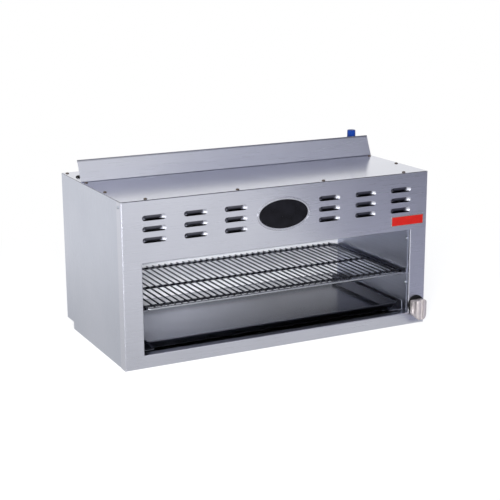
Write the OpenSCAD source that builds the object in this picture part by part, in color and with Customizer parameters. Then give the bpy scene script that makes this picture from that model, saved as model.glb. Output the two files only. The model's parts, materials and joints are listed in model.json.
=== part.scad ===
// Gas cheese melter: an open-fronted overhead broiler in folded stainless sheet.
// Frame: +X right, +Y back, +Z up, millimetres. The origin is the centre of the base.
// Inside the modules y counts from the front face; from_front() moves it to the frame.

/* [Cabinet] */
// Width over the front panel
cabinet_w = 914.4; // [840:0.1:1220]
// Depth from the front face to the back panel
cabinet_d = 457; // [440:1:560]
// Height of the top cover above the counter
cabinet_h = 440; // [430:1:520]
// Thickness of the cabinet sheet
sheet = 1.2; // [0.8:0.1:1.5]
// Outside radius of the front panel's vertical bends
corner_r = 3; // [2.5:0.5:6]
// Depth of the front panel's folded flanges
front_flange = 30; // [26:1:36]
// Width of the side and back panels' folded flanges
side_flange = 20; // [16:1:21]
// Distance from the cabinet's outer faces to the top cover's edges
cover_inset = 1.2; // [0.6:0.1:3]
// Clearance between separate sheets that lie side by side
sheet_gap = 0.3; // [0.2:0.1:0.6]
// Depth of the step cut out of the rear bottom edge
notch_d = 54.5; // [30:0.5:62]
// Height of the step cut out of the rear bottom edge
notch_h = 21; // [12:1:30]

/* [Front opening] */
// Width of the stiles, from the cabinet's side to the opening
stile_w = 53.7; // [52:0.1:90]
// Height of the sill above the counter
opening_bottom = 35; // [32:1:45]
// Height of the header's lower edge above the counter
opening_top = 277; // [240:1:278]
// Depth of the folds along the opening's sides
stile_return = 7; // [4:0.5:9]
// Depth of the fold along the sill
sill_return = 22; // [12:1:22]
// Depth of the fold along the header
header_return = 12; // [8:1:13]

/* [Louvres] */
// Length of one louvre
louvre_w = 65; // [40:1:90]
// Height of one louvre
louvre_h = 13; // [9:0.5:15]
// Height of the open slit below each louvre's scoop
louvre_slit = 4.5; // [2:0.5:6]
// Louvre columns on each side of the badge
louvre_columns = 3; // [1:1:3]
// Louvre rows
louvre_rows = 3; // [1:1:3]
// Distance of the first column from the middle
louvre_x = 140; // [130:1:150]
// Distance between columns
louvre_pitch_x = 114.3; // [100:0.1:116]
// Distance between rows
louvre_pitch_z = 28.7; // [22:0.1:29]
// Distance from the top of the cabinet to the first row
louvre_drop = 46.5; // [40:0.5:60]

/* [Badges] */
// Width of the oval badge's dark field
badge_w = 145.5; // [100:0.5:160]
// Height of the oval badge's dark field
badge_h = 77.5; // [50:0.5:90]
// Width of the bright rim around the oval badge
badge_rim = 7; // [3:0.5:10]
// Thickness of the badges
badge_t = 0.8; // [0.5:0.1:2]
// Distance from the top of the cabinet to the badge's middle
badge_drop = 75; // [60:1:90]
// Width of the red plate
plate_w = 107; // [60:1:110]
// Height of the red plate
plate_h = 29.5; // [15:0.5:30]
// Distance from the cabinet's right side to the red plate
plate_inset = 11; // [8:0.5:20]
// Distance from the header's lower edge to the red plate
plate_rise = 14; // [8:0.5:14]

/* [Cavity] */
// Depth left behind the rear liner
rear_space = 65; // [40:1:70]
// Distance from the front face to the liners
liner_front = 12; // [11:0.5:15]
// Height of the burner shelf above the counter
shelf_z = 300; // [292:1:302]
// Width of the liners' outward flanges
liner_flange = 10; // [8:0.5:11]
// Distance from the front face to the liner bolts
bolt_y = 19; // [17:0.5:26]
// Heights of the liner bolts
bolt_z_low = 121; // [90:1:135]
bolt_z_high = 249; // [190:1:265]
// Depth of the flue, front wall to rear liner
flue_d = 54; // [40:1:56]
// Distance from the liners to the flue's end walls
flue_inset = 8; // [6:0.5:14]

/* [Deflector] */
// Distance from the rear liner to the deflector's foot
deflector_set = 99; // [94:1:100]
// Height of the deflector above the top cover
deflector_h = 54; // [30:1:80]
// How far the deflector's top edge leans back
deflector_lean = 26; // [5:1:30]
// Width of the deflector's foot
deflector_foot = 28; // [20:1:32]
// Width of the folded hem along the deflector's top edge
deflector_hem = 8; // [5:0.5:12]

/* [Burners] */
// Gap between the two burner housings
burner_gap = 40; // [34:1:60]
// Gap between a burner housing and the side liner
burner_side_gap = 23.8; // [20:0.1:60]
// Depth of one burner housing
burner_d = 140; // [110:1:150]
// Height of one burner housing
burner_h = 46; // [36:1:50]
// Distance from the front face to the burners' middle
burner_y = 200; // [185:1:215]
// Width of the flange round each burner
burner_flange = 8; // [6:0.5:10]
// Width of the ledge that holds the ceramic tiles
tile_ledge = 9; // [5:0.5:12]
// Thickness of a ceramic tile
tile_t = 13; // [8:0.5:16]
// Tiles in one burner
tile_count = 4; // [2:1:6]
// Clearance round each tile
tile_gap = 0.6; // [0.3:0.1:1]
// Radius of the guard screen's rods
screen_rod_r = 1.5; // [1:0.1:2]
// Distance between the guard screen's cross rods
screen_pitch = 24; // [12:1:40]
// Drop of the guard screen below the burner shelf
screen_drop = 9; // [6:0.5:12]
// Outside radius of a mixing tube
mixer_r = 17; // [12:0.5:19]
// Height of the mixing tubes above the burner housings
mixer_rise = 20; // [20:0.5:26]

/* [Gas line] */
// Outside radius of the gas pipes, 1/2 inch nominal
pipe_r = 10.65; // [8:0.05:10.65]
// Wall of the pipes
pipe_wall = 2.7; // [1.5:0.1:3.2]
// Distance from the cabinet's side to the inlet pipe
inlet_inset = 22.2; // [21.5:0.1:26]
// Distance from the inlet pipe to the back
inlet_back = 84; // [78:1:110]
// Height of the inlet pipe's end above the top cover
inlet_rise = 65; // [40:0.5:90]
// Clearance round the inlet pipe where it passes the top cover
inlet_gap = 2.5; // [1.5:0.1:4]
// Length of the inlet's protective cap
cap_l = 24; // [15:0.5:35]
// Wall of the inlet's protective cap
cap_wall = 2.8; // [1.5:0.1:3.5]
// Radius of the plugged spare hole in the top cover
spare_hole_r = 6; // [4:0.5:9]
// Distance from the front face to the manifold
manifold_y = 36; // [34:0.5:40]

/* [Knob] */
// Distance from the cabinet's right side to the knob's axis
knob_inset = 28.7; // [28:0.1:30]
// Height of the knob's axis above the counter
knob_z = 57; // [56:0.5:75]
// Radius of the black bezel
bezel_r = 26.5; // [20:0.5:27]
// Thickness of the black bezel
bezel_t = 4; // [2:0.5:6]
// Radius of the knob's round skirt
skirt_r = 24; // [18:0.5:26]
// Thickness of the knob's round skirt
skirt_t = 9; // [5:0.5:12]
// Depth of the knob in front of the bezel
knob_d = 29; // [20:1:40]
// Width of the knob's grip
grip_w = 34; // [24:1:36]
// Reach of the grip above the axis
grip_up = 23; // [16:0.5:26]
// Reach of the grip below the axis
grip_down = 41; // [26:0.5:42]
// Radius of the valve's stem
stem_r = 4; // [3:0.1:5]
// Running clearance of the stem in the valve
stem_gap = 0.05; // [0.02:0.01:0.09]

/* [Rack and pan] */
// Height of the rack's frame above the counter
rack_z = 153.2; // [110:0.1:200]
// Clearance between the rack's sides and the liners
rack_side_gap = 11.6; // [6:0.1:14]
// Distance from the front face to the rack's front rail
rack_front = 7.7; // [6:0.1:12]
// Clearance behind the rack
rack_rear_gap = 3; // [2:0.5:8]
// Radius of the rack's frame rods
frame_rod_r = 3.2; // [2.5:0.1:4]
// Radius of the rack's wires
wire_r = 2.3; // [1.5:0.1:2.5]
// Number of rack wires
wire_count = 40; // [10:1:44]
// Distance from the rack's side rods to the first wire
wire_inset = 20; // [12:1:30]
// Distance from the front rail to the rack's second rod
second_rod = 17; // [14:1:40]
// Width of the rack guides' shelves
rack_guide_shelf = 26; // [18:1:28]
// Width of the pan guides' shelves
pan_guide_shelf = 40; // [38:1:46]
// Height of the rack guides' wall flanges
rack_guide_h = 13; // [8:1:20]
// Height of the pan guides' wall flanges
pan_guide_h = 28; // [10:1:34]
// Clearance between a sliding piece and its guide
slide_gap = 0.3; // [0.2:0.05:0.6]
// Height of the pan's floor above the sill
pan_clear = 2; // [1.5:0.1:4]
// Depth of the pan
pan_h = 25; // [12:1:28]
// How far the pan's walls lean outwards
pan_slope = 12; // [6:1:14]
// Clearance between the pan's rim and the liners
pan_side_gap = 17; // [10:0.5:20]
// Distance from the front face to the pan
pan_front = 24; // [24:0.5:30]
// Clearance behind the pan
pan_rear_gap = 4; // [2:0.5:8]
// Width of the pan's rim
pan_rim = 5; // [3:0.5:8]

/* [Fasteners and mounts] */
// Radius of a sheet screw
screw_r = 2; // [1.5:0.1:2.5]
// Radius of a sheet screw's head
screw_head_r = 4.2; // [3.5:0.1:5]
// Radius of a liner bolt
bolt_r = 3; // [2.5:0.1:3.5]
// Clearance of a fastener in its hole
hole_gap = 0.2; // [0.1:0.05:0.4]
// Distance between the outer two of the four front cover screws
cover_screw_span = 771; // [600:1:790]
// Distance from the front face to the first screw along each side of the cover
cover_screw_y = 141; // [100:1:180]
// Distance between the wall mounting holes, sideways
wall_hole_x = 610; // [400:1:700]
// Distance between the wall mounting holes, upright
wall_hole_z = 300; // [200:1:320]
// Radius of the wall mounting holes
wall_hole_r = 4.5; // [3:0.1:6]
// Distance between the leg holes, sideways
leg_hole_x = 770; // [500:1:780]
// Distance between the leg holes, front to back
leg_hole_y = 300; // [200:1:310]
// Radius of the leg holes
leg_hole_r = 5.2; // [4:0.1:6.5]

/* [Hidden] */

$fn = 48;
steel = "#c3c7cf";
inner_steel = "#a9adb5";
plated = "#d6d8db";
brass = "#c8a24c";
iron = "#3b3b3e";

half_w = cabinet_w / 2;
side_out = half_w - sheet;            // outer face of a side panel, inside the front's flange
side_in = side_out - sheet;           // inner face of a side panel
cover_half = half_w - cover_inset;
cover_under = cabinet_h - sheet;      // underside of the top cover
flange_under = cover_under - sheet;   // underside of the flanges that carry the cover
notch_y = cabinet_d - notch_d;
opening_w = cabinet_w - 2 * stile_w;
open_half = opening_w / 2;
liner_in = open_half + sheet_gap;
liner_out = liner_in + sheet;
liner_back = cabinet_d - rear_space;
base_top = 2 * sheet;                 // top of the flanges that lie on the base
flange_in = side_in - side_flange;

flue_y = liner_back - flue_d;         // rear face of the flue's front wall
flue_half = liner_in - flue_inset;
flue_margin = 4;                      // flue walls to the slot in the cover
flue_slot_r = 6;
deflector_y = liner_back - deflector_set;

screw_hole_r = screw_r + hole_gap;
cover_screw_in = 11;                  // cover screws to the cover's side edges
cover_screws_x = [for (i = [-1.5:1:1.5]) i * cover_screw_span / 3];
cover_rear_screw = 17;                // rear cover screws to the back
cover_screws_y = [cover_screw_y, deflector_y - 2 * screw_head_r, cabinet_d - cover_rear_screw];
front_screw_y = 14;
side_screw_y = 18;
side_screw_drop = 15;                 // side screws to the top of the cabinet
side_screw_z = cabinet_h - side_screw_drop;
deflector_screw_lead = 16;            // deflector's foot line to its screws
deflector_screw_end = 54.5;           // deflector's end to its last screw
deflector_screw_y = deflector_y + deflector_screw_lead;
deflector_screws_x = [for (i = [-2:1:2]) i * (cover_half - deflector_screw_end) / 2];
back_screw_x = side_in - side_flange / 2;
back_screw_low = 20;                  // lowest back screws to the notch
back_screw_drop = 25;                 // highest back screws to the top
back_screws_z = [notch_h + back_screw_low, (cabinet_h + notch_h) / 2, cabinet_h - back_screw_drop];
wall_hole_mid = (cabinet_h + notch_h) / 2;
screw_l = 9;
stem_hole_gap = 3;                    // valve stem to the front panel
post_lap = 3;                         // corner post past the front panel's flange
liner_flange_y = 60;                  // where the liners' flanges begin

burner_w = liner_in - burner_gap / 2 - burner_side_gap;
burner_x = (burner_w + burner_gap) / 2;
burner_base = shelf_z + sheet;        // top face of the burner shelf
burner_top = burner_base + burner_h;
tile_base = burner_base + sheet;
burner_in_w = burner_w - 2 * sheet;
burner_in_d = burner_d - 2 * sheet;
window_w = burner_in_w - 2 * tile_ledge;
window_d = burner_in_d - 2 * tile_ledge;
mixer_z = burner_top + mixer_rise;
mixer_wall = 1.6;
mixer_lead = 24;                      // manifold's axis to the mixing tubes' mouths
mixer_mouth = manifold_y + mixer_lead;
bell_l = 14;
bell_flare = 6;
bell_r = mixer_r + bell_flare;
burner_screw_end = 30;                // burner's end to its screws
burner_screw_x = burner_w / 2 - burner_screw_end;
burner_screw_y = burner_d / 2 + burner_flange / 2;
burner_screw_r = 1.5;
burner_screw_head = 2.8;
burner_screw_l = 7;

knob_x = half_w - knob_inset;
inlet_x = half_w - inlet_inset;
inlet_y = cabinet_d - inlet_back;
knob_gap = 0.3;                       // knob to bezel
stem_lap = 8;                         // stem past the knob's skirt
stem_l = 34;                          // stem behind the front face
bezel_hole_gap = 2;
grip_corner = 6;
grip_ridge = 4;                       // ridge between the grip's two hollows
grip_edge = 2;                        // metal beside each hollow
valve_half = 18;
valve_front = 16;                     // front face of the valve's body
valve_back = 60;
valve_half_z = 20;
valve_top = knob_z + valve_half_z;
valve_boss_r = 12;                    // boss between the valve and the front panel
valve_neck = 8;                       // length of the valve's pipe necks
valve_bore = 37;                      // depth of the stem's bore
fitting_wall = 4;
fitting_r = pipe_r + fitting_wall;
fitting_l = pipe_r + 2 * fitting_wall + 1;
inlet_end = cabinet_h + inlet_rise;
manifold_lap = 25;                    // manifold's closed end past the left jet
jet_hex_r = 8;
jet_hex_l = 8;
jet_r = 5.5;
jet_l = 10;
jet_bore_r = 1.2;
plug_lip = 2;                         // spare plug's head past its hole
plug_head_r = spare_hole_r + hole_gap + plug_lip;
plug_head_t = 2;
plug_dome = 2.5;
plug_slope = 3;
plug_l = 8;
pilot_r = 3.2;
pilot_valve_r = 7;
pilot_valve_rise = 22;                // pilot valve above the supply pipe
pilot_valve_h = pipe_r + pilot_valve_rise;
pilot_screw_r = 3.5;                  // pilot valve's adjusting screw
pilot_screw_l = 8;
pilot_screw_z = pipe_r + pilot_valve_rise / 2;
pilot_y = 110;
pilot_gap = 6;                        // pilot tube above the mixing tubes
pilot_z = mixer_z + mixer_r + pilot_gap;
pilot_burner_r = 7;
pilot_burner_wall = 2;
pilot_burner_drop = 8;                // pilot burner below the burner shelf
pilot_burner_rise = 20;               // pilot burner above the burner shelf
pilot_burner_cup = 11;

rack_half = liner_in - rack_side_gap - frame_rod_r;
rack_rear = liner_back - rack_rear_gap - frame_rod_r;
rack_corner = 10;
weld = 0.3;                           // wires pressed into the frame's rods
wire_z = rack_z + frame_rod_r + wire_r - weld;
wire_bend = wire_z - rack_z;
wire_half = rack_half - wire_inset;
wire_pitch = 2 * wire_half / (wire_count - 1);
middle_rod = 8;                       // middle rod behind the rack's middle
rack_rods = [rack_front + second_rod, (rack_front + rack_rear) / 2 + middle_rod];

rack_guide_top = rack_z - frame_rod_r - slide_gap;
pan_bottom = opening_bottom + pan_clear;
pan_guide_top = pan_bottom - slide_gap;
guide_gap = 1;                        // guides to the rear liner
guide_back = liner_back - guide_gap;
rack_guide_front = 15;
pan_guide_front = 33;
pan_half = liner_in - pan_side_gap;
pan_back = liner_back - pan_rear_gap;
pan_wall = sheet * norm([pan_slope, pan_h]) / pan_h;

module from_front() {
    translate([0, -cabinet_d / 2, 0]) children();
}

// Box between two opposite corners
module box(low, high) {
    translate(low) cube(high - low);
}

// The same child on the right and, mirrored, on the left
module both_sides() {
    children();
    mirror([1, 0, 0]) children();
}

// Straight round bar from p to q
module bar(p, q, r) {
    v = q - p;
    translate(p) rotate([0, acos(v[2] / norm(v)), atan2(v[1], v[0])]) cylinder(h = norm(v), r = r);
}

// Round tube along points, with ball corners
module tube_run(points, r) {
    for (i = [0:len(points) - 2]) bar(points[i], points[i + 1], r);
    for (i = [1:len(points) - 2]) translate(points[i]) sphere(r);
}

// Hole or rod along +Y
module along_y(r, l) {
    rotate([-90, 0, 0]) cylinder(h = l, r = r);
}

// Hole or rod along +X
module along_x(r, l) {
    rotate([0, 90, 0]) cylinder(h = l, r = r);
}

// Section in the YZ plane, carried along X about the middle
module along_width(l) {
    rotate([90, 0, 90]) linear_extrude(l, center = true) children();
}

// Rectangle with four round corners, centred on x, starting at y
module round_rect(w, y0, y1, r) {
    translate([-w / 2 + r, y0]) square([w - 2 * r, y1 - y0]);
    translate([-w / 2, y0 + r]) square([w, y1 - y0 - 2 * r]);
    for (s = [-1, 1], y = [y0 + r, y1 - r]) translate([s * (w / 2 - r), y]) circle(r);
}

// Rectangle whose two front corners are round
module round_front(w, d, r) {
    translate([-w / 2, r]) square([w, d - r]);
    translate([-w / 2 + r, 0]) square([w - 2 * r, d]);
    for (s = [-1, 1]) translate([s * (w / 2 - r), r]) circle(r);
}

// Outline of an oval
module oval(w, h) {
    polygon([for (a = [0:3.75:359]) [w / 2 * cos(a), h / 2 * sin(a)]]);
}

// Bar with ball ends, lying along X
module capsule(l, r) {
    translate([-l / 2 + r, 0, 0]) along_x(r, l - 2 * r);
    for (s = [-1, 1]) translate([s * (l / 2 - r), 0, 0]) sphere(r);
}

module louvre_places() {
    for (s = [-1, 1], i = [0:louvre_columns - 1], j = [0:louvre_rows - 1])
        translate([s * (louvre_x + i * louvre_pitch_x), 0, cabinet_h - louvre_drop - j * louvre_pitch_z])
            children();
}

// Metal of one scoop, pressed inwards and left open below
module louvre_scoop() {
    lip = -louvre_h / 2 + louvre_slit;
    intersection() {
        capsule(louvre_w + 2 * sheet, louvre_h / 2 + sheet);
        box([-louvre_w, 0, lip], [louvre_w, louvre_h, louvre_h]);
    }
}

module cover_front_screws() {
    for (x = cover_screws_x) translate([x, front_screw_y, 0]) children();
}

module cover_side_screws() {
    for (s = [-1, 1], y = cover_screws_y) translate([s * (cover_half - cover_screw_in), y, 0]) children();
}

// Sheet screw with a domed cross head, seat at z = 0, shank pointing down
module sheet_screw(r, head_r, l) {
    head_h = head_r * 0.55;
    difference() {
        union() {
            cylinder(h = head_h * 0.5, r = head_r);
            translate([0, 0, head_h * 0.5]) cylinder(h = head_h * 0.5, r1 = head_r, r2 = head_r * 0.7);
        }
        for (a = [0, 90]) rotate(a)
            box([-head_r * 0.5, -head_r * 0.1, head_h * 0.5], [head_r * 0.5, head_r * 0.1, 2 * head_h]);
    }
    translate([0, 0, -l]) cylinder(h = l, r = r);
}

module front_panel() {
    flange_half = side_in - sheet_gap;
    color(steel) from_front() difference() {
        union() {
            linear_extrude(cover_under) difference() {
                round_front(cabinet_w, front_flange, corner_r);
                translate([0, sheet]) round_front(2 * side_out, front_flange, corner_r - sheet);
            }
            for (z = [sheet, flange_under])
                box([-flange_half, sheet / 2, z], [flange_half, front_flange, z + sheet]);
            both_sides() box([open_half, sheet / 2, opening_bottom - sheet],
                [open_half + sheet, stile_return, opening_top + sheet]);
            box([-open_half, sheet / 2, opening_bottom - sheet], [open_half, sill_return, opening_bottom]);
            box([-open_half, sheet / 2, opening_top], [open_half, header_return, opening_top + sheet]);
            louvre_places() louvre_scoop();
        }
        box([-open_half, -1, opening_bottom], [open_half, sheet + 0.1, opening_top]);
        louvre_places() capsule(louvre_w, louvre_h / 2);
        translate([knob_x, -1, knob_z]) along_y(stem_r + stem_hole_gap, 4);
        cover_front_screws() translate([0, 0, flange_under - 1]) cylinder(h = 4, r = screw_hole_r);
        translate([-half_w - 1, side_screw_y, side_screw_z]) along_x(screw_hole_r, cabinet_w + 2);
    }
}

module side_panel() {
    color(steel) from_front() difference() {
        union() {
            translate([side_in, 0, 0]) rotate([90, 0, 90]) linear_extrude(sheet) polygon([
                [corner_r, 0], [notch_y, 0], [notch_y, notch_h], [cabinet_d, notch_h],
                [cabinet_d, cover_under], [corner_r, cover_under]]);
            box([flange_in, front_flange + sheet_gap, flange_under],
                [side_in + sheet / 2, cabinet_d - sheet - sheet_gap, cover_under]);
            box([flange_in, front_flange + sheet_gap, sheet], [side_in + sheet / 2, notch_y, base_top]);
            box([flange_in, cabinet_d - 2 * sheet - sheet_gap, notch_h + base_top],
                [side_in + sheet / 2, cabinet_d - sheet - sheet_gap, cover_under]);
        }
        translate([0, 0, flange_under - 1]) cover_side_screws() cylinder(h = 4, r = screw_hole_r);
        translate([inlet_x, inlet_y, flange_under - 1]) cylinder(h = 4, r = pipe_r + inlet_gap);
        translate([side_in - 1, side_screw_y, side_screw_z]) along_x(screw_hole_r, 4);
        for (z = back_screws_z) translate([back_screw_x, cabinet_d - 5, z]) along_y(screw_hole_r, 6);
    }
}

module right_side_panel() {
    side_panel();
}

module left_side_panel() {
    mirror([1, 0, 0]) side_panel();
}

module top_cover() {
    color(steel) from_front() difference() {
        box([-cover_half, cover_inset, cover_under], [cover_half, cabinet_d - cover_inset, cabinet_h]);
        translate([0, 0, cover_under - 1]) {
            linear_extrude(4) round_rect(2 * (flue_half - flue_margin),
                flue_y + flue_margin, liner_back - flue_margin, flue_slot_r);
            translate([inlet_x, inlet_y, 0]) cylinder(h = 4, r = pipe_r + inlet_gap);
            translate([-inlet_x, inlet_y, 0]) cylinder(h = 4, r = spare_hole_r + hole_gap);
            cover_front_screws() cylinder(h = 4, r = screw_hole_r);
            cover_side_screws() cylinder(h = 4, r = screw_hole_r);
            for (x = deflector_screws_x) translate([x, deflector_screw_y, 0]) cylinder(h = 4, r = screw_hole_r);
        }
    }
}

module back_panel() {
    half = side_in - sheet_gap;
    inner = flange_in - sheet_gap;
    color(steel) from_front() difference() {
        union() {
            box([-half, cabinet_d - sheet, notch_h], [half, cabinet_d, cover_under]);
            box([-inner, notch_y - sheet, notch_h], [inner, cabinet_d - sheet / 2, notch_h + sheet]);
            box([-inner, cabinet_d - side_flange, flange_under], [inner, cabinet_d - sheet / 2, cover_under]);
        }
        for (s = [-1, 1], z = back_screws_z) translate([s * back_screw_x, cabinet_d - 2, z])
            along_y(screw_hole_r, 4);
        for (sx = [-1, 1], sz = [-1, 1])
            translate([sx * wall_hole_x / 2, cabinet_d - 2, wall_hole_mid + sz * wall_hole_z / 2])
                along_y(wall_hole_r, 4);
    }
}

module base_panel() {
    half = side_in - sheet_gap;
    color(steel) from_front() difference() {
        union() {
            box([-half, sheet + sheet_gap, 0], [half, notch_y, sheet]);
            box([-flange_in + sheet_gap, notch_y - sheet, 0], [flange_in - sheet_gap, notch_y, notch_h]);
        }
        for (sx = [-1, 1], sy = [-1, 1])
            translate([sx * leg_hole_x / 2, (cabinet_d + sy * leg_hole_y) / 2, -1])
                cylinder(h = sheet + 2, r = leg_hole_r);
    }
}

module flue_deflector() {
    leaf = norm([deflector_lean, deflector_h]);
    up = [deflector_lean, deflector_h] / leaf;
    back = [up[1], -up[0]];
    hem = [for (c = [[leaf - deflector_hem, 1], [leaf, 1], [leaf, 2], [leaf - deflector_hem, 2]])
        c[0] * up + c[1] * sheet * back];
    color(steel) from_front() translate([0, deflector_y, cabinet_h]) difference() {
        along_width(2 * cover_half) {
            polygon([[0, 0], leaf * up, leaf * up + sheet * back, [sheet / up[1], 0]]);
            polygon(hem);
            square([deflector_foot, sheet]);
        }
        for (x = deflector_screws_x) translate([x, deflector_screw_y - deflector_y, -1])
            cylinder(h = 4, r = screw_hole_r);
    }
}

// Angle that joins the front panel to a liner
module corner_post() {
    color(inner_steel) from_front() difference() {
        union() {
            box([liner_out, sheet, base_top], [liner_out + sheet, front_flange + post_lap, shelf_z]);
            box([liner_out, sheet, base_top], [liner_out + liner_flange, 2 * sheet, shelf_z]);
        }
        liner_bolt_holes();
    }
}

module liner_bolt_holes() {
    for (z = [bolt_z_low, bolt_z_high]) translate([liner_in - 1, bolt_y, z])
        along_x(bolt_r + hole_gap, 2 * sheet + 2);
}

module right_corner_post() {
    corner_post();
}

module left_corner_post() {
    mirror([1, 0, 0]) corner_post();
}

module side_liner() {
    color(inner_steel) from_front() difference() {
        union() {
            box([liner_in, liner_front, base_top], [liner_out, liner_back, shelf_z]);
            box([liner_in, liner_flange_y, shelf_z - sheet], [liner_out + liner_flange, liner_back, shelf_z]);
        }
        liner_bolt_holes();
    }
}

module right_liner() {
    side_liner();
}

module left_liner() {
    mirror([1, 0, 0]) side_liner();
}

module rear_liner() {
    color(inner_steel) from_front()
        box([-liner_out, liner_back, base_top], [liner_out, liner_back + sheet, cover_under]);
}

module burner_places() {
    for (s = [-1, 1]) translate([s * burner_x, burner_y, 0]) children();
}

module burner_screw_places() {
    for (sx = [-1, 1], sy = [-1, 1]) translate([sx * burner_screw_x, sy * burner_screw_y, 0]) children();
}

module burner_shelf() {
    lip_y = header_return + sheet_gap;
    color(inner_steel) from_front() difference() {
        union() {
            box([-liner_out - liner_flange, lip_y, shelf_z],
                [liner_out + liner_flange, flue_y - sheet, burner_base]);
            box([-open_half, lip_y, opening_top + base_top], [open_half, lip_y + sheet, shelf_z + sheet / 2]);
        }
        translate([0, 0, shelf_z - 1]) {
            burner_places() linear_extrude(4) square([window_w, window_d], center = true);
            burner_places() burner_screw_places() cylinder(h = 4, r = burner_screw_r + hole_gap);
            translate([0, burner_y, 0]) cylinder(h = 4, r = pilot_burner_r + 1);
        }
    }
}

// Walls that lead the hot gas from the cavity to the slot in the cover
module flue_duct() {
    color(inner_steel) from_front() {
        box([-flue_half - sheet, flue_y - sheet, shelf_z], [flue_half + sheet, flue_y, cover_under]);
        both_sides() {
            box([flue_half, flue_y - sheet / 2, shelf_z], [flue_half + sheet, liner_back, cover_under]);
            box([flue_half, flue_y - sheet, shelf_z], [liner_out + liner_flange, liner_back, burner_base]);
        }
    }
}

// Pressed box, open below, with a ledge inside for the tiles
module burner_housing(x) {
    flange_w = burner_w + 2 * burner_flange;
    flange_d = burner_d + 2 * burner_flange;
    color(inner_steel) from_front() translate([x, burner_y, burner_base]) difference() {
        union() {
            linear_extrude(sheet) square([flange_w, flange_d], center = true);
            linear_extrude(burner_h) square([burner_w, burner_d], center = true);
        }
        translate([0, 0, -1]) linear_extrude(burner_h) square([window_w, window_d], center = true);
        translate([0, 0, sheet]) linear_extrude(burner_h - 2 * sheet)
            square([burner_in_w, burner_in_d], center = true);
        cylinder(h = burner_h + 1, r = mixer_r - mixer_wall);
        burner_screw_places() translate([0, 0, -1]) cylinder(h = 4, r = burner_screw_r + hole_gap);
    }
}

module left_burner_housing() {
    burner_housing(-burner_x);
}

module right_burner_housing() {
    burner_housing(burner_x);
}

module burner_tiles(x) {
    tile_w = (burner_in_w - (tile_count + 1) * tile_gap) / tile_count;
    color("#e8dccb") from_front() for (i = [0:tile_count - 1])
        translate([x - burner_in_w / 2 + tile_gap + i * (tile_w + tile_gap),
            burner_y - burner_in_d / 2 + tile_gap, tile_base])
            cube([tile_w, burner_in_d - 2 * tile_gap, tile_t]);
}

module left_burner_tiles() {
    burner_tiles(-burner_x);
}

module right_burner_tiles() {
    burner_tiles(burner_x);
}

// Heat-resistant rods across the burner's window, hung from the shelf by four legs
module guard_screen(x) {
    half_l = window_w / 2 + tile_ledge / 2;
    half_d = window_d / 2 + tile_ledge / 2;
    z = shelf_z - screen_drop;
    count = floor(window_w / screen_pitch);
    color(iron) from_front() translate([x, burner_y, z]) {
        for (s = [-1, 1]) {
            tube_run([[-half_l, s * half_d, screen_drop], [-half_l, s * half_d, 0],
                [half_l, s * half_d, 0], [half_l, s * half_d, screen_drop]], screen_rod_r);
        }
        for (i = [0:count]) translate([(i - count / 2) * screen_pitch, -half_d, 0])
            along_y(screen_rod_r, 2 * half_d);
    }
}

module left_guard_screen() {
    guard_screen(-burner_x);
}

module right_guard_screen() {
    guard_screen(burner_x);
}

// Tube that draws air in at its bell mouth and leads the mixture down into the housing
module mixing_tube(x) {
    color(iron) from_front() translate([x, 0, mixer_z]) difference() {
        union() {
            translate([0, mixer_mouth + bell_l, 0]) along_y(mixer_r, burner_y - mixer_mouth - bell_l);
            translate([0, mixer_mouth, 0]) rotate([-90, 0, 0]) cylinder(h = bell_l, r1 = bell_r, r2 = mixer_r);
            translate([0, burner_y, 0]) sphere(mixer_r);
            translate([0, burner_y, burner_top - mixer_z]) cylinder(h = mixer_rise, r = mixer_r);
        }
        translate([0, mixer_mouth - 0.01, 0]) rotate([-90, 0, 0])
            cylinder(h = bell_l + 0.02, r1 = bell_r - mixer_wall, r2 = mixer_r - mixer_wall);
        translate([0, mixer_mouth + bell_l, 0]) along_y(mixer_r - mixer_wall, burner_y - mixer_mouth - bell_l);
        translate([0, burner_y, 0]) sphere(mixer_r - mixer_wall);
        translate([0, burner_y, burner_top - mixer_z - 1]) cylinder(h = mixer_rise + 1, r = mixer_r - mixer_wall);
    }
}

module left_mixing_tube() {
    mixing_tube(-burner_x);
}

module right_mixing_tube() {
    mixing_tube(burner_x);
}

module gas_manifold() {
    left_end = -burner_x - manifold_lap;
    right_end = knob_x - fitting_l;
    color(iron) from_front() translate([0, manifold_y, mixer_z]) difference() {
        translate([left_end, 0, 0]) along_x(pipe_r, right_end - left_end);
        translate([left_end + pipe_wall, 0, 0]) along_x(pipe_r - pipe_wall, right_end - left_end);
    }
}

// Brass jets between the manifold and the bell mouths
module burner_orifices() {
    color(brass) from_front() for (s = [-1, 1]) translate([s * burner_x, manifold_y, mixer_z]) difference() {
        union() {
            rotate([-90, 0, 0]) cylinder(h = pipe_r + jet_hex_l, r = jet_hex_r, $fn = 6);
            along_y(jet_r, pipe_r + jet_hex_l + jet_l);
        }
        along_y(jet_bore_r, pipe_r + jet_hex_l + jet_l + 1);
        translate([-2 * jet_hex_r, 0, 0]) along_x(pipe_r, 4 * jet_hex_r);
    }
}

module manifold_elbow() {
    color(iron) from_front() translate([knob_x, manifold_y, mixer_z]) {
        sphere(fitting_r);
        translate([-fitting_l, 0, 0]) along_x(fitting_r, fitting_l);
        translate([0, 0, -fitting_l]) cylinder(h = fitting_l, r = fitting_r);
    }
}

module feed_riser() {
    bottom = valve_top + valve_neck;
    top = mixer_z - fitting_l;
    color(iron) from_front() translate([knob_x, manifold_y, bottom]) difference() {
        cylinder(h = top - bottom, r = pipe_r);
        translate([0, 0, -1]) cylinder(h = top - bottom + 2, r = pipe_r - pipe_wall);
    }
}

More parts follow.
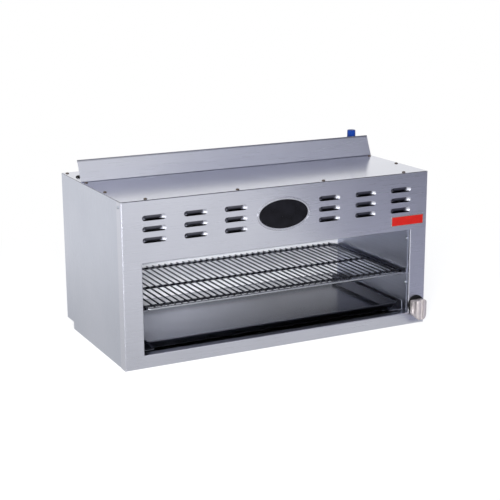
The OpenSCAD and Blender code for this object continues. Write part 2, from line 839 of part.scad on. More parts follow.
module gas_valve() {
    color(brass) from_front() difference() {
        union() {
            box([knob_x - valve_half, valve_front, knob_z - valve_half_z],
                [knob_x + valve_half, valve_back, valve_top]);
            translate([knob_x, sheet, knob_z]) along_y(valve_boss_r, valve_front);
            translate([knob_x, manifold_y, valve_top - 1]) cylinder(h = valve_neck + 1, r = fitting_r - 1);
            translate([inlet_x, valve_back - 1, knob_z]) along_y(fitting_r, valve_neck + 1);
        }
        translate([knob_x, -1, knob_z]) along_y(stem_r + stem_gap, valve_bore);
    }
}

module supply_pipe() {
    start = valve_back + valve_neck;
    end = inlet_y - fitting_l;
    color(iron) from_front() translate([inlet_x, start, knob_z]) difference() {
        along_y(pipe_r, end - start);
        translate([0, -1, 0]) along_y(pipe_r - pipe_wall, end - start + 2);
    }
}

module inlet_elbow() {
    color(iron) from_front() translate([inlet_x, inlet_y, knob_z]) {
        sphere(fitting_r);
        translate([0, -fitting_l, 0]) along_y(fitting_r, fitting_l);
        cylinder(h = fitting_l, r = fitting_r);
    }
}

module inlet_pipe() {
    bottom = knob_z + fitting_l;
    color(iron) from_front() translate([inlet_x, inlet_y, bottom]) difference() {
        cylinder(h = inlet_end - bottom, r = pipe_r);
        translate([0, 0, -1]) cylinder(h = inlet_end - bottom + 2, r = pipe_r - pipe_wall);
    }
}

module inlet_cap() {
    color("#0f50c8") from_front() translate([inlet_x, inlet_y, inlet_end + cap_wall - cap_l]) difference() {
        cylinder(h = cap_l, r = pipe_r + cap_wall);
        translate([0, 0, -1]) cylinder(h = cap_l - cap_wall + 1, r = pipe_r);
    }
}

module spare_hole_plug() {
    color("#1b1b1d") from_front() translate([-inlet_x, inlet_y, cabinet_h]) {
        cylinder(h = plug_head_t, r = plug_head_r);
        translate([0, 0, plug_head_t]) cylinder(h = plug_dome, r1 = plug_head_r, r2 = plug_head_r - plug_slope);
        translate([0, 0, -plug_l]) cylinder(h = plug_l, r = spare_hole_r);
    }
}

module pilot_valve() {
    color(brass) from_front() translate([inlet_x, pilot_y, knob_z]) difference() {
        union() {
            cylinder(h = pilot_valve_h, r = pilot_valve_r);
            translate([0, -pilot_screw_l - pilot_valve_r / 2, pilot_screw_z]) along_y(pilot_screw_r, pilot_screw_l);
        }
        translate([0, -2 * pilot_valve_r, 0]) along_y(pipe_r, 4 * pilot_valve_r);
    }
}

module pilot_tube() {
    color("#c9ccd0") from_front() tube_run([
        [inlet_x, pilot_y, knob_z + pilot_valve_h], [inlet_x, pilot_y, pilot_z],
        [0, pilot_y, pilot_z], [0, burner_y, pilot_z], [0, burner_y, burner_base + pilot_burner_rise]], pilot_r);
}

module pilot_burner() {
    color(plated) from_front() translate([0, burner_y, shelf_z - pilot_burner_drop]) difference() {
        cylinder(h = pilot_burner_drop + sheet + pilot_burner_rise, r = pilot_burner_r);
        translate([0, 0, -1]) cylinder(h = pilot_burner_cup + 1, r = pilot_burner_r - pilot_burner_wall);
    }
}

module knob_bezel() {
    color("#141416") from_front() translate([knob_x, -bezel_t, knob_z]) difference() {
        union() {
            translate([0, 1, 0]) along_y(bezel_r, bezel_t - 1);
            rotate([-90, 0, 0]) cylinder(h = 1, r1 = bezel_r - 1, r2 = bezel_r);
        }
        translate([0, -1, 0]) along_y(stem_r + bezel_hole_gap, bezel_t + 2);
    }
}

module valve_stem() {
    color(plated) from_front() translate([knob_x, -bezel_t - skirt_t - stem_lap, knob_z])
        along_y(stem_r, bezel_t + skirt_t + stem_lap + stem_l);
}

// Cast knob: a round skirt and an upright grip with two hollows down its front
module control_knob() {
    end_r = grip_w / 2;
    back = -bezel_t - knob_gap;
    front = back - knob_d;
    scoop_w = (grip_w - grip_ridge) / 2 - grip_edge;
    scoop_r = scoop_w * 0.75;
    color("#c9c5c2") from_front() translate([knob_x, 0, knob_z]) difference() {
        union() {
            translate([0, back - skirt_t, 0]) along_y(skirt_r, skirt_t);
            translate([0, front, 0]) rotate([-90, 0, 0]) linear_extrude(knob_d) {
                translate([0, grip_down - end_r]) circle(end_r);
                round_rect(grip_w, -grip_up, grip_down - end_r + grip_corner, grip_corner);
            }
        }
        for (s = [-1, 1])
            translate([s * (grip_ridge + scoop_w) / 2, front - scoop_r * 0.62, -grip_down - 1])
                cylinder(h = grip_down + grip_up + 2, r = scoop_r);
        translate([0, -bezel_t - skirt_t - stem_lap, 0]) along_y(stem_r, bezel_t + skirt_t + 2 * stem_lap);
    }
}

// Angle on a liner: an upright flange and a shelf that carries a sliding piece
module guide(front, top, shelf_w, flange_h) {
    color(inner_steel) from_front() {
        box([liner_in - shelf_w, front, top - sheet], [liner_in, guide_back, top]);
        box([liner_in - sheet, front, top - sheet], [liner_in, guide_back, top - sheet + flange_h]);
    }
}

module right_rack_guide() {
    guide(rack_guide_front, rack_guide_top, rack_guide_shelf, rack_guide_h);
}

module left_rack_guide() {
    mirror([1, 0, 0]) guide(rack_guide_front, rack_guide_top, rack_guide_shelf, rack_guide_h);
}

module right_pan_guide() {
    guide(pan_guide_front, pan_guide_top, pan_guide_shelf, pan_guide_h);
}

module left_pan_guide() {
    mirror([1, 0, 0]) guide(pan_guide_front, pan_guide_top, pan_guide_shelf, pan_guide_h);
}

module rack_frame() {
    straight_x = rack_half - rack_corner;
    color(plated) from_front() translate([0, 0, rack_z]) {
        for (y = [rack_front, rack_rear]) translate([-straight_x, y, 0]) along_x(frame_rod_r, 2 * straight_x);
        for (s = [-1, 1]) translate([s * rack_half, rack_front + rack_corner, 0])
            along_y(frame_rod_r, rack_rear - rack_front - 2 * rack_corner);
        both_sides() for (m = [0, 1])
            translate([straight_x, m * (rack_front + rack_rear), 0]) mirror([0, m, 0])
                translate([0, rack_rear - rack_corner, 0])
                    rotate_extrude(angle = 90) translate([rack_corner, 0]) circle(frame_rod_r);
        for (y = rack_rods) translate([-rack_half, y, 0]) along_x(frame_rod_r, 2 * rack_half);
    }
}

// Wires laid over the frame's rods, their front ends bent down to the front rail
module rack_wires() {
    color(plated) from_front() for (i = [0:wire_count - 1]) translate([-wire_half + i * wire_pitch, 0, 0]) {
        translate([0, rack_front + wire_bend, wire_z])
            along_y(wire_r, rack_rear + frame_rod_r - rack_front - wire_bend);
        translate([0, rack_front + wire_bend, rack_z]) rotate([180, -90, 0])
            rotate_extrude(angle = 90) translate([wire_bend, 0]) circle(wire_r);
    }
}

// Block between two heights whose four walls lean outwards as the pan's do, set in by gap
module tray(z0, z1, gap) {
    low = gap + pan_rim + pan_slope * (1 - z0 / pan_h);
    high = gap + pan_rim + pan_slope * (1 - z1 / pan_h);
    intersection() {
        along_width(2 * pan_half) polygon([[pan_front + low, z0], [pan_back - low, z0],
            [pan_back - high, z1], [pan_front + high, z1]]);
        translate([0, pan_back, 0]) rotate([90, 0, 0]) linear_extrude(pan_back - pan_front)
            polygon([[low - pan_half, z0], [pan_half - low, z0], [pan_half - high, z1], [high - pan_half, z1]]);
    }
}

// Folded tray with leaning walls and a flat rim
module spillage_pan() {
    color(inner_steel) from_front() translate([0, 0, pan_bottom]) difference() {
        union() {
            tray(0, pan_h, 0);
            box([-pan_half, pan_front, pan_h - sheet], [pan_half, pan_back, pan_h]);
        }
        tray(sheet, pan_h + 1, pan_wall);
    }
}

module badge_rim_plate() {
    color("#b9bcc4") from_front() translate([0, 0, cabinet_h - badge_drop]) rotate([90, 0, 0])
        linear_extrude(badge_t) oval(badge_w + 2 * badge_rim, badge_h + 2 * badge_rim);
}

module badge_field() {
    color("#0c0c10") from_front() translate([0, -badge_t, cabinet_h - badge_drop]) rotate([90, 0, 0])
        linear_extrude(badge_t) oval(badge_w, badge_h);
}

module red_plate() {
    right = half_w - plate_inset;
    z = opening_top + plate_rise;
    color("#e8231c") from_front() box([right - plate_w, -badge_t, z], [right, 0, z + plate_h]);
}

module cover_screws() {
    color(plated) from_front() translate([0, 0, cabinet_h]) {
        cover_front_screws() sheet_screw(screw_r, screw_head_r, screw_l);
        cover_side_screws() sheet_screw(screw_r, screw_head_r, screw_l);
    }
}

module side_screws() {
    color(plated) from_front() both_sides()
        translate([half_w, side_screw_y, side_screw_z]) rotate([0, 90, 0]) sheet_screw(screw_r, screw_head_r, screw_l);
}

// Round-headed bolts through each liner and corner post, with their nuts behind
module liner_bolts() {
    nut_x = liner_out + sheet;
    head_t = bolt_r / 2;
    head_r = bolt_r * 1.8;
    color(plated) from_front() both_sides() for (z = [bolt_z_low, bolt_z_high]) translate([0, bolt_y, z]) {
        translate([liner_in - head_t, 0, 0]) along_x(bolt_r, head_t + 2 * sheet + 2.4 * bolt_r);
        translate([liner_in - head_t, 0, 0]) along_x(head_r, head_t);
        translate([liner_in - 2 * head_t, 0, 0]) rotate([0, 90, 0]) cylinder(h = head_t, r1 = bolt_r * 1.2, r2 = head_r);
        translate([nut_x, 0, 0]) rotate([0, 90, 0]) cylinder(h = bolt_r * 1.3, r = bolt_r * 1.9, $fn = 6);
    }
}

module deflector_screws() {
    color(plated) from_front() for (x = deflector_screws_x)
        translate([x, deflector_screw_y, cabinet_h + sheet]) sheet_screw(screw_r, screw_head_r, screw_l);
}

module back_screws() {
    color(plated) from_front() for (s = [-1, 1], z = back_screws_z)
        translate([s * back_screw_x, cabinet_d, z]) rotate([-90, 0, 0]) sheet_screw(screw_r, screw_head_r, screw_l);
}

module burner_screws() {
    color(plated) from_front() burner_places() burner_screw_places()
        translate([0, 0, burner_base + sheet]) sheet_screw(burner_screw_r, burner_screw_head, burner_screw_l);
}

front_panel();
left_side_panel();
right_side_panel();
top_cover();
back_panel();
base_panel();
flue_deflector();
left_corner_post();
right_corner_post();
left_liner();
right_liner();
rear_liner();
burner_shelf();
flue_duct();
left_burner_housing();
right_burner_housing();
left_burner_tiles();
right_burner_tiles();
left_guard_screen();
right_guard_screen();
left_mixing_tube();
right_mixing_tube();
gas_manifold();
burner_orifices();
manifold_elbow();
feed_riser();
gas_valve();
supply_pipe();
inlet_elbow();
inlet_pipe();
inlet_cap();
spare_hole_plug();
pilot_valve();
pilot_tube();
pilot_burner();
knob_bezel();
valve_stem();
control_knob();
left_rack_guide();
right_rack_guide();
left_pan_guide();
right_pan_guide();
rack_frame();
rack_wires();
spillage_pan();
badge_rim_plate();
badge_field();
red_plate();
cover_screws();
side_screws();
liner_bolts();
deflector_screws();
back_screws();
burner_screws();
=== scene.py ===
# %% [markdown]
# # A gas cheese melter
# A cheese melter is an open-fronted overhead broiler. Its cabinet is folded from brushed
# stainless sheet, ceramic burners glow under its roof, and a wire rack slides in the cavity.
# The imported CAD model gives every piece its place, so this lesson spends its time on finishes
# and on the pieces whose shapes are rounder than plain solids can be.

# %% Load the frame
import json
import math

import bmesh
import bpy
from mathutils import Matrix, Vector


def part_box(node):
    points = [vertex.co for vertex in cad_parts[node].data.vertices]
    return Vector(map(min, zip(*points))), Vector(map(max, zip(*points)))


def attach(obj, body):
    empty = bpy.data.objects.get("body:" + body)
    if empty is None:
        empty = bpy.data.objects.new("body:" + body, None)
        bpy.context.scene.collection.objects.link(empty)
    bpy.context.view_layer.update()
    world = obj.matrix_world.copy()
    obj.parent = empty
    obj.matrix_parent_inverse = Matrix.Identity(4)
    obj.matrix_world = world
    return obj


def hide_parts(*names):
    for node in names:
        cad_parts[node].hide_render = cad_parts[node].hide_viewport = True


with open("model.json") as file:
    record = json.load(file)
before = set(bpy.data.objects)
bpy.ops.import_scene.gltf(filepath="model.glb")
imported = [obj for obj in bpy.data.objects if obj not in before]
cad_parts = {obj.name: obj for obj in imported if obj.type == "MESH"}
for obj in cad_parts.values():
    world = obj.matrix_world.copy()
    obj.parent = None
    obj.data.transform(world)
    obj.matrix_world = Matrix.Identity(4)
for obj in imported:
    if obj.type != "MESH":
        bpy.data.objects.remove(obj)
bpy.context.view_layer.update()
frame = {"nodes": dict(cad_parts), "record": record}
nodes = frame["nodes"]
scene = bpy.context.scene
scene.view_settings.view_transform = "Standard"

# %% [markdown]
# Colours are written as the sRGB hex values that a colour picker shows. Cycles adds up light in
# linear values, so one function turns hex into linear. Sizes are written in millimetres,
# because that is how sheet metal is made, and a constant turns them into metres.

# %% Colour and node helpers
MM = 0.001


def linear(hex_colour):
    """sRGB hex such as #c6c9d3 as a linear RGBA tuple."""
    values = [int(hex_colour[i : i + 2], 16) / 255 for i in (1, 3, 5)]
    return tuple(v / 12.92 if v <= 0.04045 else ((v + 0.055) / 1.055) ** 2.4 for v in values) + (1.0,)


def add(tree, kind, links=None, stops=(), **settings):
    """Adds one shader node. links maps an input's name to a value or to another node's output.

    stops are for a colour ramp. Each is a place from 0 to 1 and a hex colour.
    """
    node = tree.nodes.new(kind)
    for key, value in settings.items():
        setattr(node, key, value)
    for key, value in (links or {}).items():
        if isinstance(value, bpy.types.NodeSocket):
            tree.links.new(value, node.inputs[key])
        else:
            node.inputs[key].default_value = value
    if stops:
        elements = node.color_ramp.elements
        while len(elements) < len(stops):
            elements.new(1.0)
        for element, (place, colour) in zip(elements, stops):
            element.position = place
            element.color = linear(colour)
    return node


print("a mid grey is", round(linear("#808080")[0], 3))

# %% [markdown]
# The camera stands to the left of the front and a little above it. Its place and focal length
# were solved from the straight edges of the cabinet in the photograph, so edges in the render
# fall where they do there. The lens is long, as in most catalogue pictures, which keeps the
# cabinet's edges nearly parallel.

# %% Camera
CAMERA_PLACE = Vector((-1.4945, -2.9795, 1.0565))
CAMERA_AHEAD = Vector((0.4383, 0.8649, -0.2447)).normalized()
CAMERA_ROLL = math.radians(-0.26)
SENSOR_MM, LENS_MM = 36.0, 87.41
camera_data = bpy.data.cameras.new("camera")
camera_data.sensor_width = SENSOR_MM
camera_data.lens = LENS_MM
camera = bpy.data.objects.new("camera", camera_data)
turn = CAMERA_AHEAD.to_track_quat("-Z", "Y").to_matrix().to_4x4()
camera.matrix_world = Matrix.Translation(CAMERA_PLACE) @ turn @ Matrix.Rotation(CAMERA_ROLL, 4, "Z")
scene.collection.objects.link(camera)
scene.camera = camera
print("lens", camera_data.lens, "mm")

# %% [markdown]
# The studio is plain: a pale floor, a white surround and two soft lamps from the left. The
# surround is white to the camera and to mirrors, and gives a softer light to everything else.

# %% Surround
SOFT_LIGHT = 0.80
world = bpy.data.worlds.new("studio")
scene.world = world
world.use_nodes = True
tree = world.node_tree
tree.nodes.clear()


def background_rays(tree):
    """1 for the rays that may see the white background, 0 for the rays that carry light."""
    path = add(tree, "ShaderNodeLightPath").outputs
    seen = path["Is Camera Ray"]
    for ray in ("Is Glossy Ray", "Is Transmission Ray"):
        seen = add(tree, "ShaderNodeMath", {0: seen, 1: path[ray]}, operation="MAXIMUM").outputs[0]
    return seen


soft_light = add(tree, "ShaderNodeBackground", {"Color": linear("#f6f8ff"), "Strength": SOFT_LIGHT})
white_wall = add(tree, "ShaderNodeBackground", {"Color": linear("#ffffff"), "Strength": 1.0})
links = {0: background_rays(tree), 1: soft_light.outputs[0], 2: white_wall.outputs[0]}
mix = add(tree, "ShaderNodeMixShader", links)
add(tree, "ShaderNodeOutputWorld", {"Surface": mix.outputs[0]})
print("world", world.name)

# %% [markdown]
# The floor is a sweep of white paper. It looks white from afar, and keeps the object's shadow
# close by. Mirrors see a glowing floor instead, with a painted shadow: less white near the object.

# %% Floor
PAPER_NEAR, PAPER_FAR, SHADOW_FADE, MIRROR_NEAR = 0.45, 1.30, 0.62, 0.75
PAPER_SHAPE = (0.8, 1.0, 1.0)  # the near part is wider than deep, like the cabinet
FLOOR_HALF = 9.0


def stage_sheet(name, corners, material):
    """A flat four-cornered sheet of studio equipment."""
    mesh = bpy.data.meshes.new(name)
    mesh.from_pydata(corners, [], [(0, 1, 2, 3)])
    sheet = bpy.data.objects.new(name, mesh)
    mesh.materials.append(material)
    scene.collection.objects.link(sheet)
    return sheet


def stage_material(name, hex_colour, roughness):
    """A plain finish for studio equipment."""
    material = bpy.data.materials.new(name)
    material.use_nodes = True
    shader = material.node_tree.nodes["Principled BSDF"]
    shader.inputs["Base Color"].default_value = linear(hex_colour)
    shader.inputs["Roughness"].default_value = roughness
    return material


def rising(tree, away, near_value):
    """Goes from near_value close to the object to 1 far from it."""
    links = {"Value": away, "From Min": PAPER_NEAR, "From Max": PAPER_FAR, "To Min": near_value}
    return add(tree, "ShaderNodeMapRange", links).outputs[0]


paper = stage_material("floor_paper", "#fcfcfc", 0.9)
tree = paper.node_tree
spot = add(tree, "ShaderNodeNewGeometry").outputs["Position"]
spot = add(tree, "ShaderNodeVectorMath", {0: spot, 1: PAPER_SHAPE}, operation="MULTIPLY").outputs[0]
away = add(tree, "ShaderNodeVectorMath", {0: spot}, operation="LENGTH").outputs["Value"]
mirror = add(tree, "ShaderNodeLightPath").outputs["Is Glossy Ray"]
bright = rising(tree, away, SHADOW_FADE)
share = add(tree, "ShaderNodeMath", {0: bright, 1: mirror}, operation="MAXIMUM").outputs[0]
share = add(tree, "ShaderNodeMath", {0: share, 1: background_rays(tree)}, operation="MULTIPLY").outputs[0]
# Painted shadow: mirrors see the glowing floor dimmer near the object.
links = {"Factor": mirror, "A": 1.0, "B": rising(tree, away, MIRROR_NEAR)}
strength = add(tree, "ShaderNodeMix", links).outputs[0]
glow = add(tree, "ShaderNodeEmission", {"Color": linear("#ffffff"), "Strength": strength}).outputs[0]
lit_paper = tree.nodes["Principled BSDF"].outputs[0]
mix = add(tree, "ShaderNodeMixShader", {0: share, 1: lit_paper, 2: glow})
tree.links.new(mix.outputs[0], tree.nodes["Material Output"].inputs["Surface"])
corners = [(x * FLOOR_HALF, y * FLOOR_HALF, 0) for x, y in ((-1, -1), (1, -1), (1, 1), (-1, 1))]
stage_sheet("floor", corners, paper)
print("floor", 2 * FLOOR_HALF, "m wide")

# %% [markdown]
# Brushed steel shows mostly what stands around it, so that matters as much as the lamps. A
# photographer sets grey flags and lit cards round it, out of the picture. The flags at the
# right are why the front panel gets darker towards its right end, and the flag overhead gives
# the cover its shade. The lit card at the left keeps the left stile bright.

# %% Flags and card
ON_FLOOR = 0.001


def flag(name, hex_colour, corners, far_colour=None, glow=0.0):
    """A card that only mirrors see: it neither lights, shades nor shows in the picture."""
    cloth = stage_material(name + "_cloth", hex_colour, 0.9)
    tree, shader = cloth.node_tree, cloth.node_tree.nodes["Principled BSDF"]
    shader.inputs["Emission Color"].default_value = linear(hex_colour)
    shader.inputs["Emission Strength"].default_value = glow
    if far_colour:
        place = add(tree, "ShaderNodeTexCoord").outputs["Generated"]
        across = add(tree, "ShaderNodeSeparateXYZ", {0: place}).outputs["X"]
        links = {"Factor": across, "A": linear(hex_colour), "B": linear(far_colour)}
        blend = add(tree, "ShaderNodeMix", links, data_type="RGBA")
        tree.links.new(blend.outputs["Result"], shader.inputs["Base Color"])
    card = stage_sheet(name, corners, cloth)
    card.visible_camera = card.visible_diffuse = card.visible_shadow = False


corners = [(x, y, ON_FLOOR) for x, y in ((0.42, -0.24), (2.9, -0.24), (2.9, -2.6), (1.0, -2.6))]
flag("floor_flag", "#9a9aa4", corners)
corners = [(0.95, -2.1, ON_FLOOR), (2.8, -0.75, ON_FLOOR), (2.8, -0.75, 1.3), (0.95, -2.1, 1.3)]
flag("side_flag", "#7a7a82", corners)
corners = [(0.75, -1.75, 1.3), (2.9, -1.35, 1.3), (2.9, -1.35, 3.0), (0.75, -1.75, 3.0)]
flag("high_flag", "#e6e6ec", corners, "#8c8c94")
corners = [(-0.3, -1.5, 2.6), (2.8, -1.5, 2.6), (2.8, 0.2, 2.5), (-0.3, 0.2, 2.5)]
flag("roof_flag", "#8a8a92", corners)
corners = [(-2.7, -1.0, 0.02), (-0.35, -2.7, 0.02), (-0.35, -2.7, 0.5), (-2.7, -1.0, 0.5)]
flag("low_card", "#ffffff", corners, glow=1.7)
print("four flags and a lit card, for the mirrors alone")

# %% [markdown]
# Two large lamps give soft shadows. The front lamp reaches into the cavity. It is hidden from
# mirrors, where it would draw a hard white line along every bend.


# %% Lamps
def soft_lamp(name, place, aim, size, watts, in_mirrors=True):
    """A square lamp that faces its aim. Mirrors see it only with in_mirrors."""
    data = bpy.data.lights.new(name, "AREA")
    data.size = size
    data.energy = watts
    lamp = bpy.data.objects.new(name, data)
    lamp.location = place
    lamp.rotation_euler = (Vector(aim) - lamp.location).to_track_quat("-Z", "Y").to_euler()
    lamp.visible_glossy = in_mirrors
    scene.collection.objects.link(lamp)
    print(name, watts, "W")


soft_lamp("key_lamp", (-2.2, -2.0, 2.6), (0, 0, 0.2), 1.8, 32)
soft_lamp("front_lamp", (-1.62, -3.25, 1.02), (0, 0, 0.15), 1.3, 290, in_mirrors=False)

# %% [markdown]
# ## Finishes
# Every material below starts from what the real one is and how its surface was made. Each one
# reads the object's own coordinates in metres, so that a pattern keeps its real scale and rides
# with its piece. The Bevel node rounds the look of sharp CAD edges, as folding and
# deburring do on real sheet.

# %% Base for all finishes
EDGE_R = 0.6


def new_finish(name, base, metallic, roughness, edge_mm=EDGE_R, **sockets):
    """A material, its node tree and the object's coordinates. Its edges look softened."""
    material = bpy.data.materials.new(name)
    material.use_nodes = True
    tree = material.node_tree
    shader = tree.nodes["Principled BSDF"]
    shader.inputs["Base Color"].default_value = linear(base)
    shader.inputs["Metallic"].default_value = metallic
    shader.inputs["Roughness"].default_value = roughness
    for key, value in sockets.items():
        shader.inputs[key.replace("_", " ")].default_value = value
    edge = add(tree, "ShaderNodeBevel", {"Radius": edge_mm * MM}, samples=4)
    tree.links.new(edge.outputs[0], shader.inputs["Normal"])
    return material, tree, add(tree, "ShaderNodeTexCoord").outputs["Object"]


def marks(tree, place, size_mm, detail=3.0):
    """Noise with marks of size_mm, which is one size or one size each along x, y and z."""
    sizes = size_mm if isinstance(size_mm, tuple) else (size_mm,) * 3
    links = {"Vector": place, "Scale": [1 / (size * MM) for size in sizes]}
    sized = add(tree, "ShaderNodeMapping", links).outputs[0]
    links = {"Vector": sized, "Scale": 1.0, "Detail": detail}
    return add(tree, "ShaderNodeTexNoise", links).outputs[0]


def dress(tree, colour, roughness=None, relief=None):
    """Links a colour, a roughness (pattern, low, high) and a relief (pattern, depth in mm)."""
    shader = tree.nodes["Principled BSDF"]
    tree.links.new(colour, shader.inputs["Base Color"])
    if roughness:
        links = dict(zip(("Value", "To Min", "To Max"), roughness))
        spread = add(tree, "ShaderNodeMapRange", links).outputs[0]
        tree.links.new(spread, shader.inputs["Roughness"])
    if relief:
        height, depth_mm = relief
        edge = shader.inputs["Normal"].links[0].from_socket
        links = {"Strength": 1.0, "Distance": depth_mm * MM, "Height": height, "Normal": edge}
        raised = add(tree, "ShaderNodeBump", links).outputs[0]
        tree.links.new(raised, shader.inputs["Normal"])


print("edges rounded", EDGE_R, "mm")

# %% [markdown]
# Some of the steel below carries painted shade, where shade or a dark reflection is written into
# the colour. It multiplies the colour, and a mask says where it lies.


# %% Masks and painted shade
def along_axis(tree, axis, start, end, of="Object"):
    """0 to 1 between two places on one of the object's axes, or two slopes of its surface."""
    place = add(tree, "ShaderNodeTexCoord").outputs[of]
    value = add(tree, "ShaderNodeSeparateXYZ", {0: place}).outputs[axis]
    links = {"Value": value, "From Min": start, "From Max": end}
    return add(tree, "ShaderNodeMapRange", links).outputs[0]


def overlap(tree, mask, *others):
    """1 only where every mask is 1."""
    for other in others:
        mask = add(tree, "ShaderNodeMath", {0: mask, 1: other}, operation="MULTIPLY").outputs[0]
    return mask


def paint_shade(material, mask, *stops):
    """Paints shade: multiplies a finish's colour by a ramp that runs with mask, from 0 to 1."""
    tree = material.node_tree
    base = tree.nodes["Principled BSDF"].inputs["Base Color"]
    tint = add(tree, "ShaderNodeValToRGB", {"Fac": mask}, stops).outputs[0]
    links = {"Factor": 1.0, "A": base.links[0].from_socket, "B": tint}
    painted_shade = add(tree, "ShaderNodeMix", links, data_type="RGBA", blend_type="MULTIPLY")
    tree.links.new(painted_shade.outputs["Result"], base)


UNSHADED = "#ffffff"
print("painted_shades start from", UNSHADED)

# %% [markdown]
# Stainless steel, number 4 finish: the mill brushes the sheet with 150 grit belts, which leave
# short parallel scratches about 0.1 mm wide. The eye sees a soft satin sheen that stretches
# across the grain. Scratches of 0.1 mm would vanish at this picture's 2.6 mm per pixel,
# so they are drawn 1.6 mm wide. The tangent, which is square to the belt's run and to the
# surface, tells the shader which way to stretch the highlight.

# %% Brushed stainless sheet
GRAIN_W, GRAIN_L, CLOUD = 1.6, 160.0, 180.0
# Each run is one scratch's size in mm and the way that the belt ran. No belt runs quite
# straight. The small skew also keeps the tangent from vanishing on cut edges.
SIDEWAYS = (GRAIN_L, GRAIN_W, GRAIN_W), (1.0, 0.02, 0.03)
UPRIGHT = (GRAIN_W, GRAIN_W, GRAIN_L), (0.02, 0.03, 1.0)
INWARDS = (GRAIN_W, GRAIN_L, GRAIN_W), (0.03, 1.0, 0.02)


def brushed(name, colours, run, roughness=0.28, satin=0.5, cut_edge_and_gap_shade=None):
    """Brushed sheet in three close colours. satin is how far the highlight stretches."""
    size_mm, way = run
    material, tree, place = new_finish(name, colours[1], 1.0, roughness, Anisotropic=satin)
    scratches = marks(tree, place, size_mm)
    links = {"Factor": 0.6, "A": scratches, "B": marks(tree, place, CLOUD, 2.0)}
    mixed = add(tree, "ShaderNodeMix", links, data_type="FLOAT").outputs[0]
    stops = list(zip((0.3, 0.5, 0.7), colours))
    colour = add(tree, "ShaderNodeValToRGB", {"Fac": mixed}, stops).outputs[0]
    facing = add(tree, "ShaderNodeTexCoord").outputs["Normal"]
    if cut_edge_and_gap_shade:
        # A sheared edge faces sideways. It is drawn nearly black: partly torn metal, dull beside the
        # brushed face, and partly painted shade for the gap along the cover's edge.
        rise = add(tree, "ShaderNodeSeparateXYZ", {0: facing}).outputs["Z"]
        rise = add(tree, "ShaderNodeMath", {0: rise}, operation="ABSOLUTE").outputs[0]
        flat = add(tree, "ShaderNodeMath", {0: rise, 1: 0.5}, operation="GREATER_THAN").outputs[0]
        links = {"Factor": flat, "A": linear(cut_edge_and_gap_shade), "B": colour}
        colour = add(tree, "ShaderNodeMix", links, data_type="RGBA").outputs["Result"]
    dress(tree, colour, (scratches, roughness - 0.02, roughness + 0.02), (scratches, 0.004))
    tangent = add(tree, "ShaderNodeVectorMath", {0: facing, 1: way}, operation="CROSS_PRODUCT")
    tree.links.new(tangent.outputs[0], tree.nodes["Principled BSDF"].inputs["Tangent"])
    return material


CABINET_COLOURS = ("#c6c8d2", "#cbcdd8", "#d0d2dc")
# Painted shade: the sides are the front's steel, a little darker and bluer for how light falls on them.
SIDE_COLOURS = ("#bcc0cd", "#c1c5d1", "#c7cad6")
cabinet_steel = brushed("stainless_brushed_sideways", CABINET_COLOURS, SIDEWAYS)
side_steel = brushed("stainless_brushed_upright", SIDE_COLOURS, UPRIGHT)
# The cover's edges are near black: partly torn metal, partly painted shade for the gap beside them.
cover_steel = brushed("stainless_cover", CABINET_COLOURS, SIDEWAYS, 0.17, 0.3, "#17171b")
print("grain drawn", GRAIN_W, "mm wide")

# %% [markdown]
# The front panel needs one thing more: painted shade in the louvres. The steel gets darker the
# deeper it lies behind the face, which stands in for the shade and dark reflections inside each
# scoop. The object's own coordinates say how deep that is.

# %% Front panel steel
SCOOP_SHALLOW, SCOOP_DEEP = 5.2, 8.6
LOUVRES_WITHIN, LOUVRES_ABOVE, FEATHER = 0.420, 0.300, 0.001
front_steel = brushed("stainless_front_louvred", CABINET_COLOURS, SIDEWAYS)
tree = front_steel.node_tree
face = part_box("front_panel")[0].y
# Painted shade: the deeper steel inside each scoop is darker.
painted_scoop_shade = overlap(
    tree,
    along_axis(tree, "X", -LOUVRES_WITHIN - FEATHER, -LOUVRES_WITHIN),
    along_axis(tree, "X", LOUVRES_WITHIN + FEATHER, LOUVRES_WITHIN),
    along_axis(tree, "Z", LOUVRES_ABOVE, LOUVRES_ABOVE + FEATHER),
    along_axis(tree, "Y", face + SCOOP_SHALLOW * MM, face + SCOOP_DEEP * MM),
)
paint_shade(front_steel, painted_scoop_shade, (0.0, UNSHADED), (0.4, "#8a8a90"), (1.0, "#3e3e43"))
print("scoops darken from", SCOOP_SHALLOW, "to", SCOOP_DEEP, "mm")

# %% [markdown]
# Inside the cavity the sheet is the same steel, a little darker and bluer, and the liners are
# duller. The spillage pan stays smooth, and its colour carries painted shade along its length:
# dark at both ends and lightest near the left one. It never reaches the dull rear wall.

# %% Cavity steel
PAN_SHADE_LEFT, PAN_SHADE_RIGHT = -0.42, 0.30
WALL_LEANS, WALL_BEHIND, WALL_METAL = (-0.3, -0.7), 0.100, 0.15
liner_steel = brushed("stainless_liner", ("#b6b9c6", "#c0c3d0", "#c9ccd8"), INWARDS, 0.34, 0.3)
pan_steel = brushed("stainless_pan", ("#bbbeca", "#c4c7d2", "#ccced8"), SIDEWAYS, 0.2, 0.3)
tree = pan_steel.node_tree
# Painted shade: the pan's colour is darker towards both ends.
painted_pan_shade = along_axis(tree, "X", PAN_SHADE_LEFT, PAN_SHADE_RIGHT)
pan_shade_stops = (0.0, "#7c7c84"), (0.14, "#c4c4c8"), (0.38, "#acacb0"), (0.72, "#707074"), (1.0, "#6c6c70")
paint_shade(pan_steel, painted_pan_shade, *pan_shade_stops)
rear_wall = overlap(
    tree,
    along_axis(tree, "Y", *WALL_LEANS, "Normal"),
    along_axis(tree, "Y", WALL_BEHIND, WALL_BEHIND + FEATHER),
)
inputs = tree.nodes["Principled BSDF"].inputs
links = {"Factor": rear_wall, "A": inputs["Base Color"].links[0].from_socket, "B": linear("#a6a8ae")}
both = add(tree, "ShaderNodeMix", links, data_type="RGBA").outputs["Result"]
tree.links.new(both, inputs["Base Color"])
links = {"Value": rear_wall, "To Min": 1.0, "To Max": WALL_METAL}
tree.links.new(add(tree, "ShaderNodeMapRange", links).outputs[0], inputs["Metallic"])
print("film from", PAN_SHADE_LEFT, "to", PAN_SHADE_RIGHT, "m")
